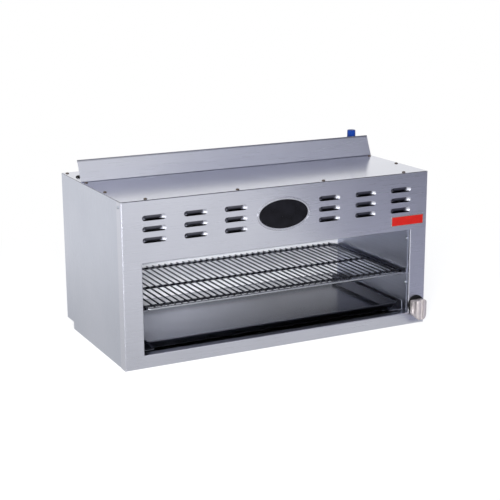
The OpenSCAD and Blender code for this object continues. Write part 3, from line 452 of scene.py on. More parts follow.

# %% [markdown]
# The deflector gets painted shade in a thin band just below its top edge, for the dark line that its hem
# bend shows.

# %% Deflector steel
TALLER, HEM_SHADE_START, HEM_SHADE_END = 3.4, 6.0, 2.0
deflector_steel = brushed("stainless_deflector", CABINET_COLOURS, SIDEWAYS)
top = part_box("flue_deflector")[1].z + TALLER * MM
# Painted shade along the deflector's top edge.
painted_shade = along_axis(deflector_steel.node_tree, "Z", top - HEM_SHADE_START * MM, top - HEM_SHADE_END * MM)
paint_shade(deflector_steel, painted_shade, (0.0, UNSHADED), (1.0, "#a2a2a6"))
print("deflector's top at", round(top, 4), "m")

# %% [markdown]
# Some sheet is never brushed. The back keeps its mill finish. The burner boxes and the rear
# liner are aluminised, which means dipped in molten aluminium: matt, pale and faintly
# crystalline. The rear liner catches the light that comes in through the front. Above the rack
# its colour is darker, painted shade for the part that less light reaches.

# %% Unbrushed sheet
LINER_SHADE_LOW, LINER_SHADE_HIGH = 0.160, 0.172


def coated_sheet(name, colours, roughness, spangle_mm, metallic=1.0):
    """Hot-dipped or rolled sheet: a cloudy surface with fine crystals and no grain."""
    material, tree, place = new_finish(name, colours[1], metallic, roughness)
    links = {"Vector": place, "Scale": 1 / (spangle_mm * MM)}
    crystals = add(tree, "ShaderNodeTexVoronoi", links).outputs["Color"]
    links = {"Factor": 0.35, "A": marks(tree, place, 60, 4.0), "B": crystals}
    mixed = add(tree, "ShaderNodeMix", links, data_type="FLOAT").outputs[0]
    stops = list(zip((0.25, 0.5, 0.75), colours))
    colour = add(tree, "ShaderNodeValToRGB", {"Fac": mixed}, stops).outputs[0]
    dress(tree, colour, (mixed, roughness - 0.08, roughness + 0.08))
    return material


back_sheet = coated_sheet("stainless_mill_finish", ("#a6a9b0", "#b4b7bd", "#c0c3c9"), 0.42, 4.0)
burner_steel = coated_sheet("aluminised_burner_box", ("#8f8f8e", "#a1a1a0", "#b4b4b2"), 0.5, 9.0)
rear_sheet = coated_sheet("aluminised_rear_liner", ("#dfe1e8", "#e6e8ee", "#edeef3"), 0.6, 5.0, 0.15)
# Painted shade: the rear liner is darker above the rack.
painted_liner_shade = along_axis(rear_sheet.node_tree, "Z", LINER_SHADE_LOW, LINER_SHADE_HIGH)
paint_shade(rear_sheet, painted_liner_shade, (0.0, UNSHADED), (1.0, "#c0c4d0"))
print("rear liner darker above", LINER_SHADE_LOW, "m")

# %% [markdown]
# The burner tiles are cordierite, a fired ceramic pressed full of flame holes. Real holes are
# about 1.2 mm wide and 2.4 mm apart, which is finer than a pixel, so they are drawn 6 mm
# apart. The guard rods above the flames are oxidised to a dull brown-grey.

# %% Ceramic and heat rods
HOLE_PITCH = 6.0
HOLE_INSIDE, HOLE_OUTSIDE = 0.22, 0.30  # where a hole's edge starts and ends, in pitches
tile_ceramic, tree, place = new_finish("cordierite_pressed", "#d9cdb8", 0.0, 0.85)
links = {"Vector": place, "Scale": 1 / (HOLE_PITCH * MM), "Randomness": 0.0}
from_hole = add(tree, "ShaderNodeTexVoronoi", links).outputs["Distance"]
links = {"Value": from_hole, "From Min": HOLE_INSIDE, "From Max": HOLE_OUTSIDE}
surface = add(tree, "ShaderNodeMapRange", links).outputs[0]
stops = (0.35, "#cbbda5"), (0.65, "#e2d7c4")
clay = add(tree, "ShaderNodeValToRGB", {"Fac": marks(tree, place, 40)}, stops).outputs[0]
# Painted shade: the holes are not cut, and their dark colour stands in for the shade inside each hole.
links = {"Factor": surface, "A": linear("#2e2823"), "B": clay}
pierced = add(tree, "ShaderNodeMix", links, data_type="RGBA").outputs["Result"]
dress(tree, pierced, relief=(surface, 1.0))

heat_rod, tree, place = new_finish("heat_wire_oxidised", "#4a4440", 0.6, 0.6, 0.3)
stops = (0.3, "#35302d"), (0.7, "#5d544d")
oxide = add(tree, "ShaderNodeValToRGB", {"Fac": marks(tree, place, 14)}, stops).outputs[0]
dress(tree, oxide, relief=(marks(tree, place, 1.5), 0.05))
print("flame holes drawn", HOLE_PITCH, "mm apart")

# %% [markdown]
# Black iron pipe comes from the mill with its dark oxide scale. The scale is rough like fine
# sand and wears a little brown. Fittings are cast in sand and are coarser, and one grain that
# lies between the two serves both.

# %% Black iron
IRON_GRAIN = 0.9
black_iron, tree, place = new_finish("black_iron_mill_scale", "#26262a", 0.35, 0.55, 0.8)
rust = marks(tree, place, 18, 5.0)
stops = (0.35, "#1c1c1f"), (0.6, "#2c2b2d"), (0.75, "#3b322d")
scale = add(tree, "ShaderNodeValToRGB", {"Fac": rust}, stops).outputs[0]
dress(tree, scale, (rust, 0.45, 0.7), (marks(tree, place, IRON_GRAIN, 5.0), 0.12))
print("iron grain", IRON_GRAIN, "mm")

# %% [markdown]
# Turned and drawn metals carry fine marks from the tool: rings on brass fittings, lengthwise
# lines on tube and wire. Zinc plate on steel parts is a little blue. Chrome is the brightest
# metal in the object, but only the rack's front rail stays bright: the rods behind it and the
# wires get darker chrome, painted shade for the dark roof of the cavity that they reflect.


# %% Small metals
def worked_metal(name, colours, roughness, mark_mm, depth_mm):
    """Metal with fine marks, each as long along x, y and z as mark_mm says."""
    material, tree, place = new_finish(name, colours[0], 1.0, roughness, 0.35)
    lines = marks(tree, place, mark_mm, 2.0)
    stops = list(zip((0.3, 0.7), colours))
    colour = add(tree, "ShaderNodeValToRGB", {"Fac": lines}, stops).outputs[0]
    dress(tree, colour, (lines, roughness * 0.7, roughness * 1.3), (lines, depth_mm))
    return material


FRONT_RAIL_BACK = -0.215
brass = worked_metal("brass_machined", ("#b8934a", "#cfae66"), 0.28, (12, 0.5, 12), 0.02)
tube_aluminium = worked_metal("aluminium_tube_drawn", ("#c6c9cd", "#d5d8dc"), 0.3, (30, 0.6, 0.6), 0.02)
plated_steel = worked_metal("zinc_plated_steel", ("#aeb4bd", "#c3c8cf"), 0.3, (2, 2, 2), 0.02)
dark_screws = worked_metal("cover_screws_oxidised", ("#4f4642", "#6b605a"), 0.34, (2, 2, 2), 0.02)
rack_chrome = worked_metal("wire_chrome_plated", ("#a2a5ac", "#b4b7be"), 0.2, (3, 40, 3), 0.01)
# Painted shade: the wires and rear rods are darker chrome for the dark roof they reflect.
dark_chrome = worked_metal("wire_chrome_painted_shade", ("#5d5e64", "#74767c"), 0.26, (3, 40, 3), 0.01)
painted_rod_shade = along_axis(rack_chrome.node_tree, "Y", FRONT_RAIL_BACK, FRONT_RAIL_BACK + 3 * FEATHER)
paint_shade(rack_chrome, painted_rod_shade, (0.0, UNSHADED), (1.0, "#707076"))
print("metals ready")

# %% [markdown]
# The blue cap is moulded polyethylene. The wax-like plastic lets a little light in, which keeps
# the blue even, and its sheen is broad. The bezel and the hole plug are moulded black
# nylon with a fine spark-eroded texture.

# %% Plastics
REDDEST, GREENEST, BLUEST = 0.4, 0.8, 2.0  # how deep each light goes into the blue, in mm
cap_plastic, tree, place = new_finish(
    "polyethylene_blue_moulded", "#02276a", 0.0, 0.5, 0.5, IOR=1.35, Subsurface_Weight=0.05
)
depths = (REDDEST * MM, GREENEST * MM, BLUEST * MM)
tree.nodes["Principled BSDF"].inputs["Subsurface Radius"].default_value = depths
stops = (0.3, "#022362"), (0.7, "#032b72")
blue = add(tree, "ShaderNodeValToRGB", {"Fac": marks(tree, place, 9)}, stops).outputs[0]
dress(tree, blue, relief=(marks(tree, place, 1.2), 0.03))

black_plastic, tree, place = new_finish("nylon_black_moulded", "#08080a", 0.0, 0.5, 0.5, IOR=1.3)
stops = (0.3, "#060607"), (0.7, "#0c0c0e")
black = add(tree, "ShaderNodeValToRGB", {"Fac": marks(tree, place, 7)}, stops).outputs[0]
dress(tree, black, relief=(marks(tree, place, 0.7), 0.03))
print("plastics ready")

# %% [markdown]
# The knob is cast zinc alloy, tumbled until its edges are soft and then left bare. Casting
# gives it a faint orange-peel, and its grey is warmer than the steel's.

# %% Cast knob metal
CAST_GRAIN = 2.2
knob_metal, tree, place = new_finish("zinc_alloy_cast_tumbled", "#bdb6b8", 0.8, 0.36, 0.6)
peel = marks(tree, place, CAST_GRAIN, 4.0)
stops = (0.3, "#b4adae"), (0.7, "#c6bfc0")
zinc = add(tree, "ShaderNodeValToRGB", {"Fac": marks(tree, place, 11)}, stops).outputs[0]
dress(tree, zinc, (peel, 0.3, 0.44), (peel, 0.05))
print("cast grain", CAST_GRAIN, "mm")

# %% [markdown]
# The badge is a pressed aluminium oval with a black lacquered field. The plate below the
# louvres is bright tinplate printed red. Lacquer hides the metal's grain but keeps a soft
# orange-peel of its own.

# %% Badge and plate finishes
PEEL = 3.0
BADGE_RUN = (30.0, 0.8, 0.8), SIDEWAYS[1]
badge_rim = brushed("aluminium_badge_brushed", ("#b9bbc5", "#c2c4cd", "#cacbd4"), BADGE_RUN, 0.22, 0.4)


def lacquer(name, colours, roughness, ior):
    """A sprayed or printed coat: even colour, faint mottle and a little orange-peel."""
    material, tree, place = new_finish(name, colours[0], 0.0, roughness, 0.4, IOR=ior)
    stops = list(zip((0.35, 0.65), colours))
    colour = add(tree, "ShaderNodeValToRGB", {"Fac": marks(tree, place, 25)}, stops).outputs[0]
    dress(tree, colour, relief=(marks(tree, place, PEEL), 0.01))
    return material


badge_black = lacquer("lacquer_black_badge", ("#07070a", "#0b0b0f"), 0.25, 1.18)
plate_red = lacquer("lacquer_red_print", ("#7c0d08", "#84100a"), 0.4, 1.25)
plate_edge = worked_metal("tinplate_bright", ("#b9beb9", "#cbd0c9"), 0.25, (8, 1, 1), 0.01)
print("lacquers ready")

# %% [markdown]
# The CAD nodes that no finer piece replaces show their own meshes, so they need their finishes
# too. The record names a material slot for every node. Where one slot covers different sheets,
# a later row of the table picks nodes out by name.

# %% Give the CAD nodes their finishes
for finish, slot_name, only in (
    (cabinet_steel, "cabinet_steel", None),
    (side_steel, "cabinet_steel", ["left_side_panel", "right_side_panel"]),
    (cover_steel, "cabinet_steel", ["top_cover"]),
    (liner_steel, "liner_steel", None),
    (pan_steel, "liner_steel", ["spillage_pan", "burner_shelf", "flue_duct"]),
    (rear_sheet, "liner_steel", ["rear_liner"]),
    (back_sheet, "back_sheet", None),
    (burner_steel, "burner_steel", None),
    (tile_ceramic, "tile_ceramic", None),
    (heat_rod, "heat_rod", None),
    (black_iron, "black_iron", None),
    (brass, "brass", None),
    (tube_aluminium, "tube_aluminium", None),
    (plated_steel, "plated_steel", None),
    (dark_screws, "plated_steel", ["cover_screws"]),
    (cap_plastic, "cap_plastic", None),
    (black_plastic, "black_plastic", None),
    (knob_metal, "knob_metal", None),
    (rack_chrome, "rack_chrome", None),
    (badge_rim, "badge_rim", None),
    (badge_black, "badge_black", None),
    (plate_red, "plate_red", None),
):
    in_slot = [part["node"] for part in frame["record"]["subparts"] if part["material_slot"] == slot_name]
    dressed = [node for node in in_slot if only is None or node in only]
    for node in dressed:
        nodes[node].data.materials.clear()
        nodes[node].data.materials.append(finish)
    print(finish.name, "on", len(dressed), "nodes")

# %% [markdown]
# ## Shapes
# Sheet metal is a surface with a thickness. So each folded piece is drawn as its outer surface
# only, in millimetres, and the Solidify modifier gives it the 1.2 mm of the real sheet.
# Weighted normals keep the flat faces flat to the eye while the bends stay smooth.

# %% Helpers for all pieces
SHEET = 1.2


def box_mm(node):
    """The low and high corners of a CAD node's box, and its middle."""
    low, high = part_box(node)
    return low / MM, high / MM, (low + high) / 2 / MM


def circle(count):
    """The angles of count points round a circle."""
    return [math.tau * i / count for i in range(count)]


def skin(bm, rows, closed=False):
    """Faces between neighbouring rows of vertices."""
    for row, following in zip(rows, rows[1:]):
        last = len(row) if closed else len(row) - 1
        for i in range(last):
            j = (i + 1) % len(row)
            bm.faces.new((row[i], row[j], following[j], following[i]))


def capped(bm, rows):
    """Closes both ends of a skin of closed rows."""
    bm.faces.new(rows[0])
    bm.faces.new(list(reversed(rows[-1])))


def piece(name, bm, material, body, stands_for, sheet=0.0, sharp=32, outward=None):
    """Makes a mesh drawn in millimetres a finished piece that stands for CAD nodes.

    outward is a spot on the surface and the way that the surface faces there.
    """
    bmesh.ops.recalc_face_normals(bm, faces=bm.faces)
    if outward:
        spot, direction = Vector(outward[0]), Vector(outward[1])
        nearest = min(bm.faces, key=lambda face: (face.calc_center_median() - spot).length)
        if nearest.normal.dot(direction) < 0:
            bmesh.ops.reverse_faces(bm, faces=bm.faces)
    bmesh.ops.scale(bm, vec=(MM, MM, MM), verts=bm.verts)
    mesh = bpy.data.meshes.new(name)
    bm.to_mesh(mesh)
    bm.free()
    made = bpy.data.objects.new(name, mesh)
    scene.collection.objects.link(made)
    if sheet:
        solid = made.modifiers.new("sheet", "SOLIDIFY")
        solid.thickness = sheet * MM
        solid.offset = -1
        solid.use_even_offset = True
        solid.thickness_clamp = 1.0
    depsgraph = bpy.context.evaluated_depsgraph_get()
    mesh = bpy.data.meshes.new_from_object(made.evaluated_get(depsgraph), depsgraph=depsgraph)
    made.modifiers.clear()
    made.data = mesh
    mesh.shade_smooth()
    mesh.set_sharp_from_angle(angle=math.radians(sharp))
    weighted = made.modifiers.new("normals", "WEIGHTED_NORMAL")
    weighted.keep_sharp = True
    mesh.materials.clear()
    mesh.materials.append(material)
    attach(made, body)
    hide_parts(*stands_for)
    print(name, len(mesh.polygons), "faces")


print("sheet", SHEET, "mm")

# %% [markdown]
# The louvres are pressed in, not cut out: a punch shears the sheet along the bottom of each one
# and stretches it inwards. The scoop has a short steep wall at the top, a back that leans in
# towards the slit, and an end wall that eases from steep to gentle on both sides. That shape is
# why one end of each louvre shines and the other is black. It is drawn as rows from the top to
# the lip, and every row has a vertex where the end wall meets the back.

# %% Louvres
LOUVRE_W, LOUVRE_H = 65.0, 14.0
LOUVRE_SLIT, LOUVRE_DEPTH, LOUVRE_END = 2.5, 8.6, 14.0
LOUVRE_WALL, LOUVRE_BACK, LOUVRE_BEND = 1.6, 7.0, 1.2
RIM_SLOPE, CREASE_SLOPE = 0.9, 0.3
LOUVRE_X, LOUVRE_PITCH_X, LOUVRE_PITCH_Z, LOUVRE_DROP = 140.0, 114.3, 28.7, 46.1
END_STEPS, MIDDLE_STEPS, BACK_STEPS, OUTLINE_STEPS = 8, 6, 4, 3


def rounded(corners, radii, steps=4):
    """Rounds the inner corners of a 2-D line, each by its own radius."""
    points = [Vector(corners[0])]
    for before, corner, after, radius in zip(corners, corners[1:], corners[2:], radii):
        corner = Vector(corner)
        to_before = (Vector(before) - corner).normalized()
        to_after = (Vector(after) - corner).normalized()
        half = to_before.angle(to_after) / 2
        centre = corner + (to_before + to_after).normalized() * (radius / math.sin(half))
        start = corner + to_before * (radius / math.tan(half)) - centre
        end = corner + to_after * (radius / math.tan(half)) - centre
        turn = start.angle_signed(end)
        for i in range(steps + 1):
            spoke = start.copy()
            spoke.rotate(Matrix.Rotation(-turn * i / steps, 2))
            points.append(centre + spoke)
    points.append(Vector(corners[-1]))
    return points


corners = [(LOUVRE_H, 0), (LOUVRE_H - LOUVRE_WALL, LOUVRE_BACK), (LOUVRE_SLIT, LOUVRE_DEPTH)]
louvre_section = rounded(corners, [LOUVRE_BEND], steps=3)
lip = louvre_section.pop()
louvre_section += [louvre_section[-1].lerp(lip, i / BACK_STEPS) for i in range(1, BACK_STEPS + 1)]
EASE = (RIM_SLOPE - CREASE_SLOPE) / (2 * LOUVRE_END)


def crease_from_end(depth):
    """How far from the louvre's end its sloping end wall reaches this depth."""
    return (RIM_SLOPE - math.sqrt(RIM_SLOPE**2 - 4 * EASE * depth)) / (2 * EASE)


def louvre(bm, x, face_y, z):
    """Presses one louvre with its middle at x, z and returns its outline on the face."""
    end_r = LOUVRE_H / 2
    straight = LOUVRE_W / 2 - end_r
    bottom = z - LOUVRE_H / 2

    def half_width(v):
        return straight + math.sqrt(max(end_r**2 - (v - end_r) ** 2, 0.0))

    rows = []
    for v, depth in louvre_section:
        crease = crease_from_end(max(depth, LOUVRE_BACK))
        ends = [crease * i / END_STEPS for i in range(END_STEPS + 1)]
        half = [(half_width(v) - t, min(depth, (RIM_SLOPE - EASE * t) * t)) for t in ends]
        half += [(half[-1][0] * (1 - i / MIDDLE_STEPS), depth) for i in range(1, MIDDLE_STEPS + 1)]
        whole = [(-u, d) for u, d in half] + [(u, d) for u, d in reversed(half[:-1])]
        rows.append([bm.verts.new((x + u, face_y + d, bottom + v)) for u, d in whole])
    skin(bm, rows)
    low = [LOUVRE_SLIT * (1 - i / OUTLINE_STEPS) for i in range(1, OUTLINE_STEPS + 1)]
    right = [bm.verts.new((x + half_width(v), face_y, bottom + v)) for v in low]
    left = [bm.verts.new((x - half_width(v), face_y, bottom + v)) for v in reversed(low)]
    return rows[0] + [row[-1] for row in rows[1:]] + right + left + [row[0] for row in rows[:0:-1]]


print("louvre scoop", LOUVRE_W, "x", LOUVRE_H, "mm")

# %% [markdown]
# The front panel is one sheet. Its face is filled between its outline, the opening, the knob's
# hole and the louvres. Then its edges are carried round their bends: the outer flanges hold the
# sides, top and base, and the short folds round the opening leave no raw edge to touch.

# %% Outline of the front panel
BEND_SIDE, BEND_TOP, BEND_OPENING = 3.0, 2.0, 2.6
NOTCH = 0.6
OPEN_HALF, OPEN_LOW, OPEN_HIGH = 403.5, 35.0, 277.0
front_low, front_high, _ = box_mm("front_panel")
face_y, height = front_low.y, front_high.z
bezel_low, bezel_high, bezel_middle = box_mm("knob_bezel")
knob_x, knob_z = bezel_middle.x, bezel_middle.z
roof = box_mm("top_cover")[1].z
outer_x = front_high.x - BEND_SIDE
inner_x = outer_x - NOTCH
hole_x = OPEN_HALF + BEND_OPENING
hole_low, hole_high = OPEN_LOW - BEND_OPENING, OPEN_HIGH + BEND_OPENING
bm = bmesh.new()


def at(x, z):
    return bm.verts.new((x, face_y, z))


def closed_loop(bm, verts):
    """The edges of a loop of vertices, made where they are missing."""
    return [bm.edges.get(pair) or bm.edges.new(pair) for pair in zip(verts, verts[1:] + verts[:1])]


left_side = [at(-outer_x, height), at(-outer_x, 0)]
base_side = [at(-inner_x, BEND_TOP), at(inner_x, BEND_TOP)]
right_side = [at(outer_x, 0), at(outer_x, height)]
top_side = [at(inner_x, height - BEND_TOP), at(-inner_x, height - BEND_TOP)]
rim = left_side + [at(-inner_x, 0)] + base_side + [at(inner_x, 0)] + right_side
rim += [at(inner_x, height)] + top_side + [at(-inner_x, height)]
edges = closed_loop(bm, rim)

left_jamb = [at(-hole_x, OPEN_HIGH), at(-hole_x, OPEN_LOW)]
sill = [at(-OPEN_HALF, hole_low), at(OPEN_HALF, hole_low)]
right_jamb = [at(hole_x, OPEN_LOW), at(hole_x, OPEN_HIGH)]
header = [at(OPEN_HALF, hole_high), at(-OPEN_HALF, hole_high)]
rim = left_jamb + [at(-OPEN_HALF, OPEN_LOW)] + sill + [at(OPEN_HALF, OPEN_LOW)] + right_jamb
rim += [at(OPEN_HALF, OPEN_HIGH)] + header + [at(-OPEN_HALF, OPEN_HIGH)]
edges += closed_loop(bm, rim)
print("opening", 2 * OPEN_HALF, "x", OPEN_HIGH - OPEN_LOW, "mm")

# %% [markdown]
# The face is filled between all those outlines at once. A fold is then a row of vertices
# carried round a quarter of a circle and on to the flange's edge.

# %% Front panel
STEM_HOLE, STEM_SIDES, COLUMNS, LINES = 7.0, 24, 3, 3
STILE_RETURN, SILL_RETURN, HEADER_RETURN = 7.0, 22.0, 12.0


def fold(bm, row, along, inward, radius, flange, steps=5):
    """Carries a row of vertices round a 90 degree bend and on into a flange."""
    along, inward = Vector(along), Vector(inward)
    rows = [row]
    for i in range(1, steps + 1):
        angle = math.pi / 2 * i / steps
        step = radius * (math.sin(angle) * along + (1 - math.cos(angle)) * inward)
        rows.append([bm.verts.new(v.co + step) for v in row])
    rows.append([bm.verts.new(v.co + (flange - radius) * inward) for v in rows[-1]])
    skin(bm, rows)


stem = [at(knob_x + STEM_HOLE * math.cos(a), knob_z + STEM_HOLE * math.sin(a)) for a in circle(STEM_SIDES)]
edges += closed_loop(bm, stem)
for side in (-1, 1):
    for column in range(COLUMNS):
        for line in range(LINES):
            x = side * (LOUVRE_X + column * LOUVRE_PITCH_X)
            z = roof - LOUVRE_DROP - line * LOUVRE_PITCH_Z
            edges += closed_loop(bm, louvre(bm, x, face_y, z))
bmesh.ops.triangle_fill(bm, use_beauty=True, use_dissolve=False, edges=edges, normal=(0, -1, 0))

flange = front_high.y - front_low.y
for row, along, radius, depth in (
    (left_side, (-1, 0, 0), BEND_SIDE, flange),
    (right_side, (1, 0, 0), BEND_SIDE, flange),
    (top_side, (0, 0, 1), BEND_TOP, flange),
    (base_side, (0, 0, -1), BEND_TOP, flange),
    (left_jamb, (1, 0, 0), BEND_OPENING, STILE_RETURN),
    (right_jamb, (-1, 0, 0), BEND_OPENING, STILE_RETURN),
    (sill, (0, 0, 1), BEND_OPENING, SILL_RETURN),
    (header, (0, 0, -1), BEND_OPENING, HEADER_RETURN),
):
    fold(bm, row, along, (0, 1, 0), radius, depth)
piece(
    "front_panel_folded", bm, front_steel, "cabinet", ["front_panel"],
    sheet=SHEET, outward=((0, face_y, 330), (0, -1, 0)),
)

# %% [markdown]
# The flue deflector is a strip bent twice. Its foot is screwed to the cover, its leaf leans
# back over the flue, and a hem folded flat against the leaf stiffens its top and hides the
# sheared edge. The leaf bows a little, as long thin sheet does. One rounded section is drawn
# and then carried along the cabinet's width.

# %% Flue deflector
HEM, HEM_BEND, DEFLECTOR_BEND, DEFLECTOR_SHEET = 8.0, SHEET - 0.02, 2.0, 1.15
LEAN, BOW, BOW_R = 26.0, 0.8, 150.0
low, high, _ = box_mm("flue_deflector")
leaf = Vector((LEAN, high.z + TALLER - low.z))
up = leaf.normalized()
across = Vector((up.y, -up.x))
behind = across * 2 * SHEET
bow = leaf / 2 + across * BOW
section = rounded(
    [(high.y - low.y, 0), (0, 0), bow, leaf, leaf + behind, leaf + behind - up * HEM],
    [DEFLECTOR_BEND, BOW_R, HEM_BEND, HEM_BEND],
    steps=6,
)
bm = bmesh.new()
skin(bm, [[bm.verts.new((x, low.y + p.x, low.z + p.y)) for p in section] for x in (low.x, high.x)])
piece(
    "flue_deflector_folded", bm, deflector_steel, "cabinet", ["flue_deflector"],
    sheet=DEFLECTOR_SHEET, outward=((0, low.y + leaf.x / 2, low.z + leaf.y / 2), (0, -1, 0.4)),
)

# %% [markdown]
# The spillage pan is pressed from one sheet. Its floor curves up into four walls that
# lean outwards, and a narrow flat rim stiffens them. Each row below is a rounded
# rectangle, and a section says how far in and how deep each one lies.

# %% Spillage pan
PAN_RIM, PAN_SLOPE, PAN_FLAT = 5.0, 12.0, 12.0
PAN_CORNER, PAN_CORNER_MIN, PAN_TIGHTER = 9.0, 3.0, 0.3
PAN_BENDS = [1.6, 3.0]


def round_rectangle(bm, x0, x1, y0, y1, z, radius, steps=4):
    """A closed row of vertices, anticlockwise seen from above."""
    row = []
    for x, y, first in ((x1, y1, 0), (x0, y1, 1), (x0, y0, 2), (x1, y0, 3)):
        centre_x = x - math.copysign(radius, x - x0 - (x1 - x0) / 2)
        centre_y = y - math.copysign(radius, y - y0 - (y1 - y0) / 2)
        for i in range(steps + 1):
            a = math.pi / 2 * (first + i / steps)
            spot = (centre_x + radius * math.cos(a), centre_y + radius * math.sin(a), z)
            row.append(bm.verts.new(spot))
    return row


low, high, _ = box_mm("spillage_pan")
floor_z, foot = low.z + SHEET, PAN_RIM + PAN_SLOPE
section = rounded([(0, high.z), (PAN_RIM, high.z), (foot, floor_z), (foot + PAN_FLAT, floor_z)], PAN_BENDS)
bm = bmesh.new()
rows = []
for inset, z in section:
    corner = max(PAN_CORNER - inset * PAN_TIGHTER, PAN_CORNER_MIN)
    sides = (low.x + inset, high.x - inset, low.y + inset, high.y - inset)
    rows.append(round_rectangle(bm, *sides, z, corner))
skin(bm, rows, closed=True)
bm.faces.new(rows[-1])
piece(
    "spillage_pan_pressed", bm, pan_steel, "pan", ["spillage_pan"],
    sheet=SHEET, outward=((0, 0, floor_z), (0, 0, 1)),
)

# %% [markdown]
# The rack is drawn wire, bent and spot-welded, then chrome plated. Each wire hooks down at the
# front onto the frame rod, so that food slides off without catching. A round section is
# carried along each bent line, which gives smoother wire than the plain solids have.

# %% Rack frame
WIRE_SIDES, ROD_R, RACK_CORNER, SECOND_ROD = 10, 3.2, 10.0, 28.0


def wire(bm, points, radius):
    """Carries a circle along a bent line in space and closes both ends."""
    rows = []
    for i, point in enumerate(points):
        ahead = (points[min(i + 1, len(points) - 1)] - points[max(i - 1, 0)]).normalized()
        side = ahead.cross(Vector((0, 0, 1)) if abs(ahead.z) < 0.9 else Vector((1, 0, 0))).normalized()
        if rows and side.dot(last_side) < 0:
            side = -side
        last_side = side
        lift = ahead.cross(side)
        spokes = [radius * (math.cos(a) * side + math.sin(a) * lift) for a in circle(WIRE_SIDES)]
        rows.append([bm.verts.new(point + spoke) for spoke in spokes])
    skin(bm, rows, closed=True)
    capped(bm, rows)


low, high, _ = box_mm("rack_frame")
rack_z = (low.z + high.z) / 2
x1, y0, y1 = high.x - ROD_R, low.y + ROD_R, high.y - ROD_R
middle_y = (y0 + y1) / 2
bm = bmesh.new()
for way in (-1, 1):
    for y in (y0, y1):
        bent = rounded([(way * x1, middle_y), (way * x1, y), (0, y)], [RACK_CORNER])
        wire(bm, [Vector((p.x, p.y, rack_z)) for p in bent], ROD_R)
for y in (y0 + SECOND_ROD, middle_y):
    wire(bm, [Vector((x, y, rack_z)) for x in (-x1, 0, x1)], ROD_R)
piece("rack_frame_drawn", bm, rack_chrome, "rack", ["rack_frame"], sharp=60)

# %% [markdown]
# The forty thin wires are alike. Each starts on the front rod, bends, and runs straight back.

# %% Rack wires
WIRE_R, WIRE_COUNT, WIRE_BEND = 2.3, 40, 0.95
low, high, _ = box_mm("rack_wires")
wire_z = high.z - WIRE_R
pitch = (high.x - low.x - 2 * WIRE_R) / (WIRE_COUNT - 1)
hook = [(low.y + WIRE_R, rack_z), (low.y + WIRE_R, wire_z), (high.y, wire_z)]
bent = rounded(hook, [(wire_z - rack_z) * WIRE_BEND])
bm = bmesh.new()
for i in range(WIRE_COUNT):
    wire(bm, [Vector((low.x + WIRE_R + i * pitch, p.x, p.y)) for p in bent], WIRE_R)
piece("rack_wires_drawn", bm, dark_chrome, "rack", ["rack_wires"], sharp=60)

# %% [markdown]
# Round parts are spun: half of the section is drawn as pairs of radius and height, then turned
# about an axis. The cap, plug and bezel are all moulded, so every edge has a small radius
# and the sides taper a little, which is how they leave their moulds.

# %% Inlet cap
CAP_WALL, CAP_LIP, CAP_STEP, CAP_TAPER = 2.8, 3.2, 0.7, 0.4
TIP = 0.4  # radius of the small disc that closes a dome


def turned(bm, profile, place, steps=48):
    """Spins (radius, height) pairs about the z axis of the matrix place."""
    rows = []
    for r, h in profile:
        spots = [Vector((r * math.cos(a), r * math.sin(a), h)) for a in circle(steps)]
        rows.append([bm.verts.new(place @ spot) for spot in spots])
    skin(bm, rows, closed=True)
    return rows


low, high, middle = box_mm("inlet_cap")
cap_r = (high.x - low.x) / 2
bore, bore_top, neck = cap_r - CAP_WALL, high.z - CAP_WALL, cap_r - CAP_STEP
lip_z = low.z + CAP_LIP
corners = [(bore, low.z), (cap_r, low.z), (cap_r, lip_z), (neck, lip_z + 0.5)]
corners += [(neck - CAP_TAPER, high.z), (TIP, high.z)]
outside = rounded(corners, [0.7, 0.5, 0.5, 2.2])
bm = bmesh.new()
profile = [tuple(p) for p in outside] + [(TIP, bore_top), (bore, bore_top)]
rows = turned(bm, profile, Matrix.Translation((middle.x, middle.y, 0)))
skin(bm, [rows[-1], rows[0]], closed=True)
bm.faces.new(rows[-2])
bm.faces.new(rows[-3])
piece("inlet_cap_moulded", bm, cap_plastic, "cabinet", ["inlet_cap"], sharp=40)

# %% [markdown]
# The spare hole in the cover is shut by a push-in plug: a stem with a lead-in and a low dome.

# %% Hole plug
PLUG_STEM, PLUG_LEAD, PLUG_FLAT, PLUG_DOME = 5.9, 0.6, 1.6, 3.2
low, high, middle = box_mm("spare_hole_plug")
head_r = (high.x - low.x) / 2
stem = [(PLUG_STEM - PLUG_LEAD, low.z), (PLUG_STEM, low.z + 1), (PLUG_STEM, roof)]
head = [(head_r, roof), (head_r, roof + PLUG_FLAT), (head_r - PLUG_DOME, high.z), (TIP, high.z)]
profile = [tuple(p) for p in rounded(stem + head, [0.4, 0.1, 0.3, 0.9, 2.5])]
bm = bmesh.new()
capped(bm, turned(bm, profile, Matrix.Translation((middle.x, middle.y, 0))))
piece("spare_hole_plug_moulded", bm, black_plastic, "cabinet", ["spare_hole_plug"], sharp=40)

# %% [markdown]
# Each screw of the cover is a low dome with a cross recess. Their places are read from the CAD
# node: vertices closer together than two radii belong to one screw.

# %% Cover screws
SCREW_R, SCREW_H, RECESS, SCREW_SIDES = 5.0, 2.6, 1.1, 24
SCREW_DOME = [(SCREW_R, 0), (SCREW_R, 0.7), (4.5, 1.6), (3.5, 2.2), (2.6, 2.5), (2.3, 2.55), (1.0, SCREW_H)]
spots = [vertex.co.xy / MM for vertex in nodes["cover_screws"].data.vertices]
firsts = []
for spot in spots:
    if all((spot - first).length > 2 * SCREW_R for first in firsts):
        firsts.append(spot)
bm = bmesh.new()
for first in firsts:
    near = [spot for spot in spots if (spot - first).length < 2 * SCREW_R]
    centre = sum(near, Vector((0, 0))) / len(near)
    rows = turned(bm, SCREW_DOME, Matrix.Translation((centre.x, centre.y, roof)), SCREW_SIDES)
    # The recess sinks the middle, and three vertices of every six in the ring round it.
    for row in rows[-2:]:
        for k, vertex in enumerate(row):
            if row is rows[-1] or k % 6 in (0, 1, 5):
                vertex.co.z -= RECESS
    capped(bm, rows)
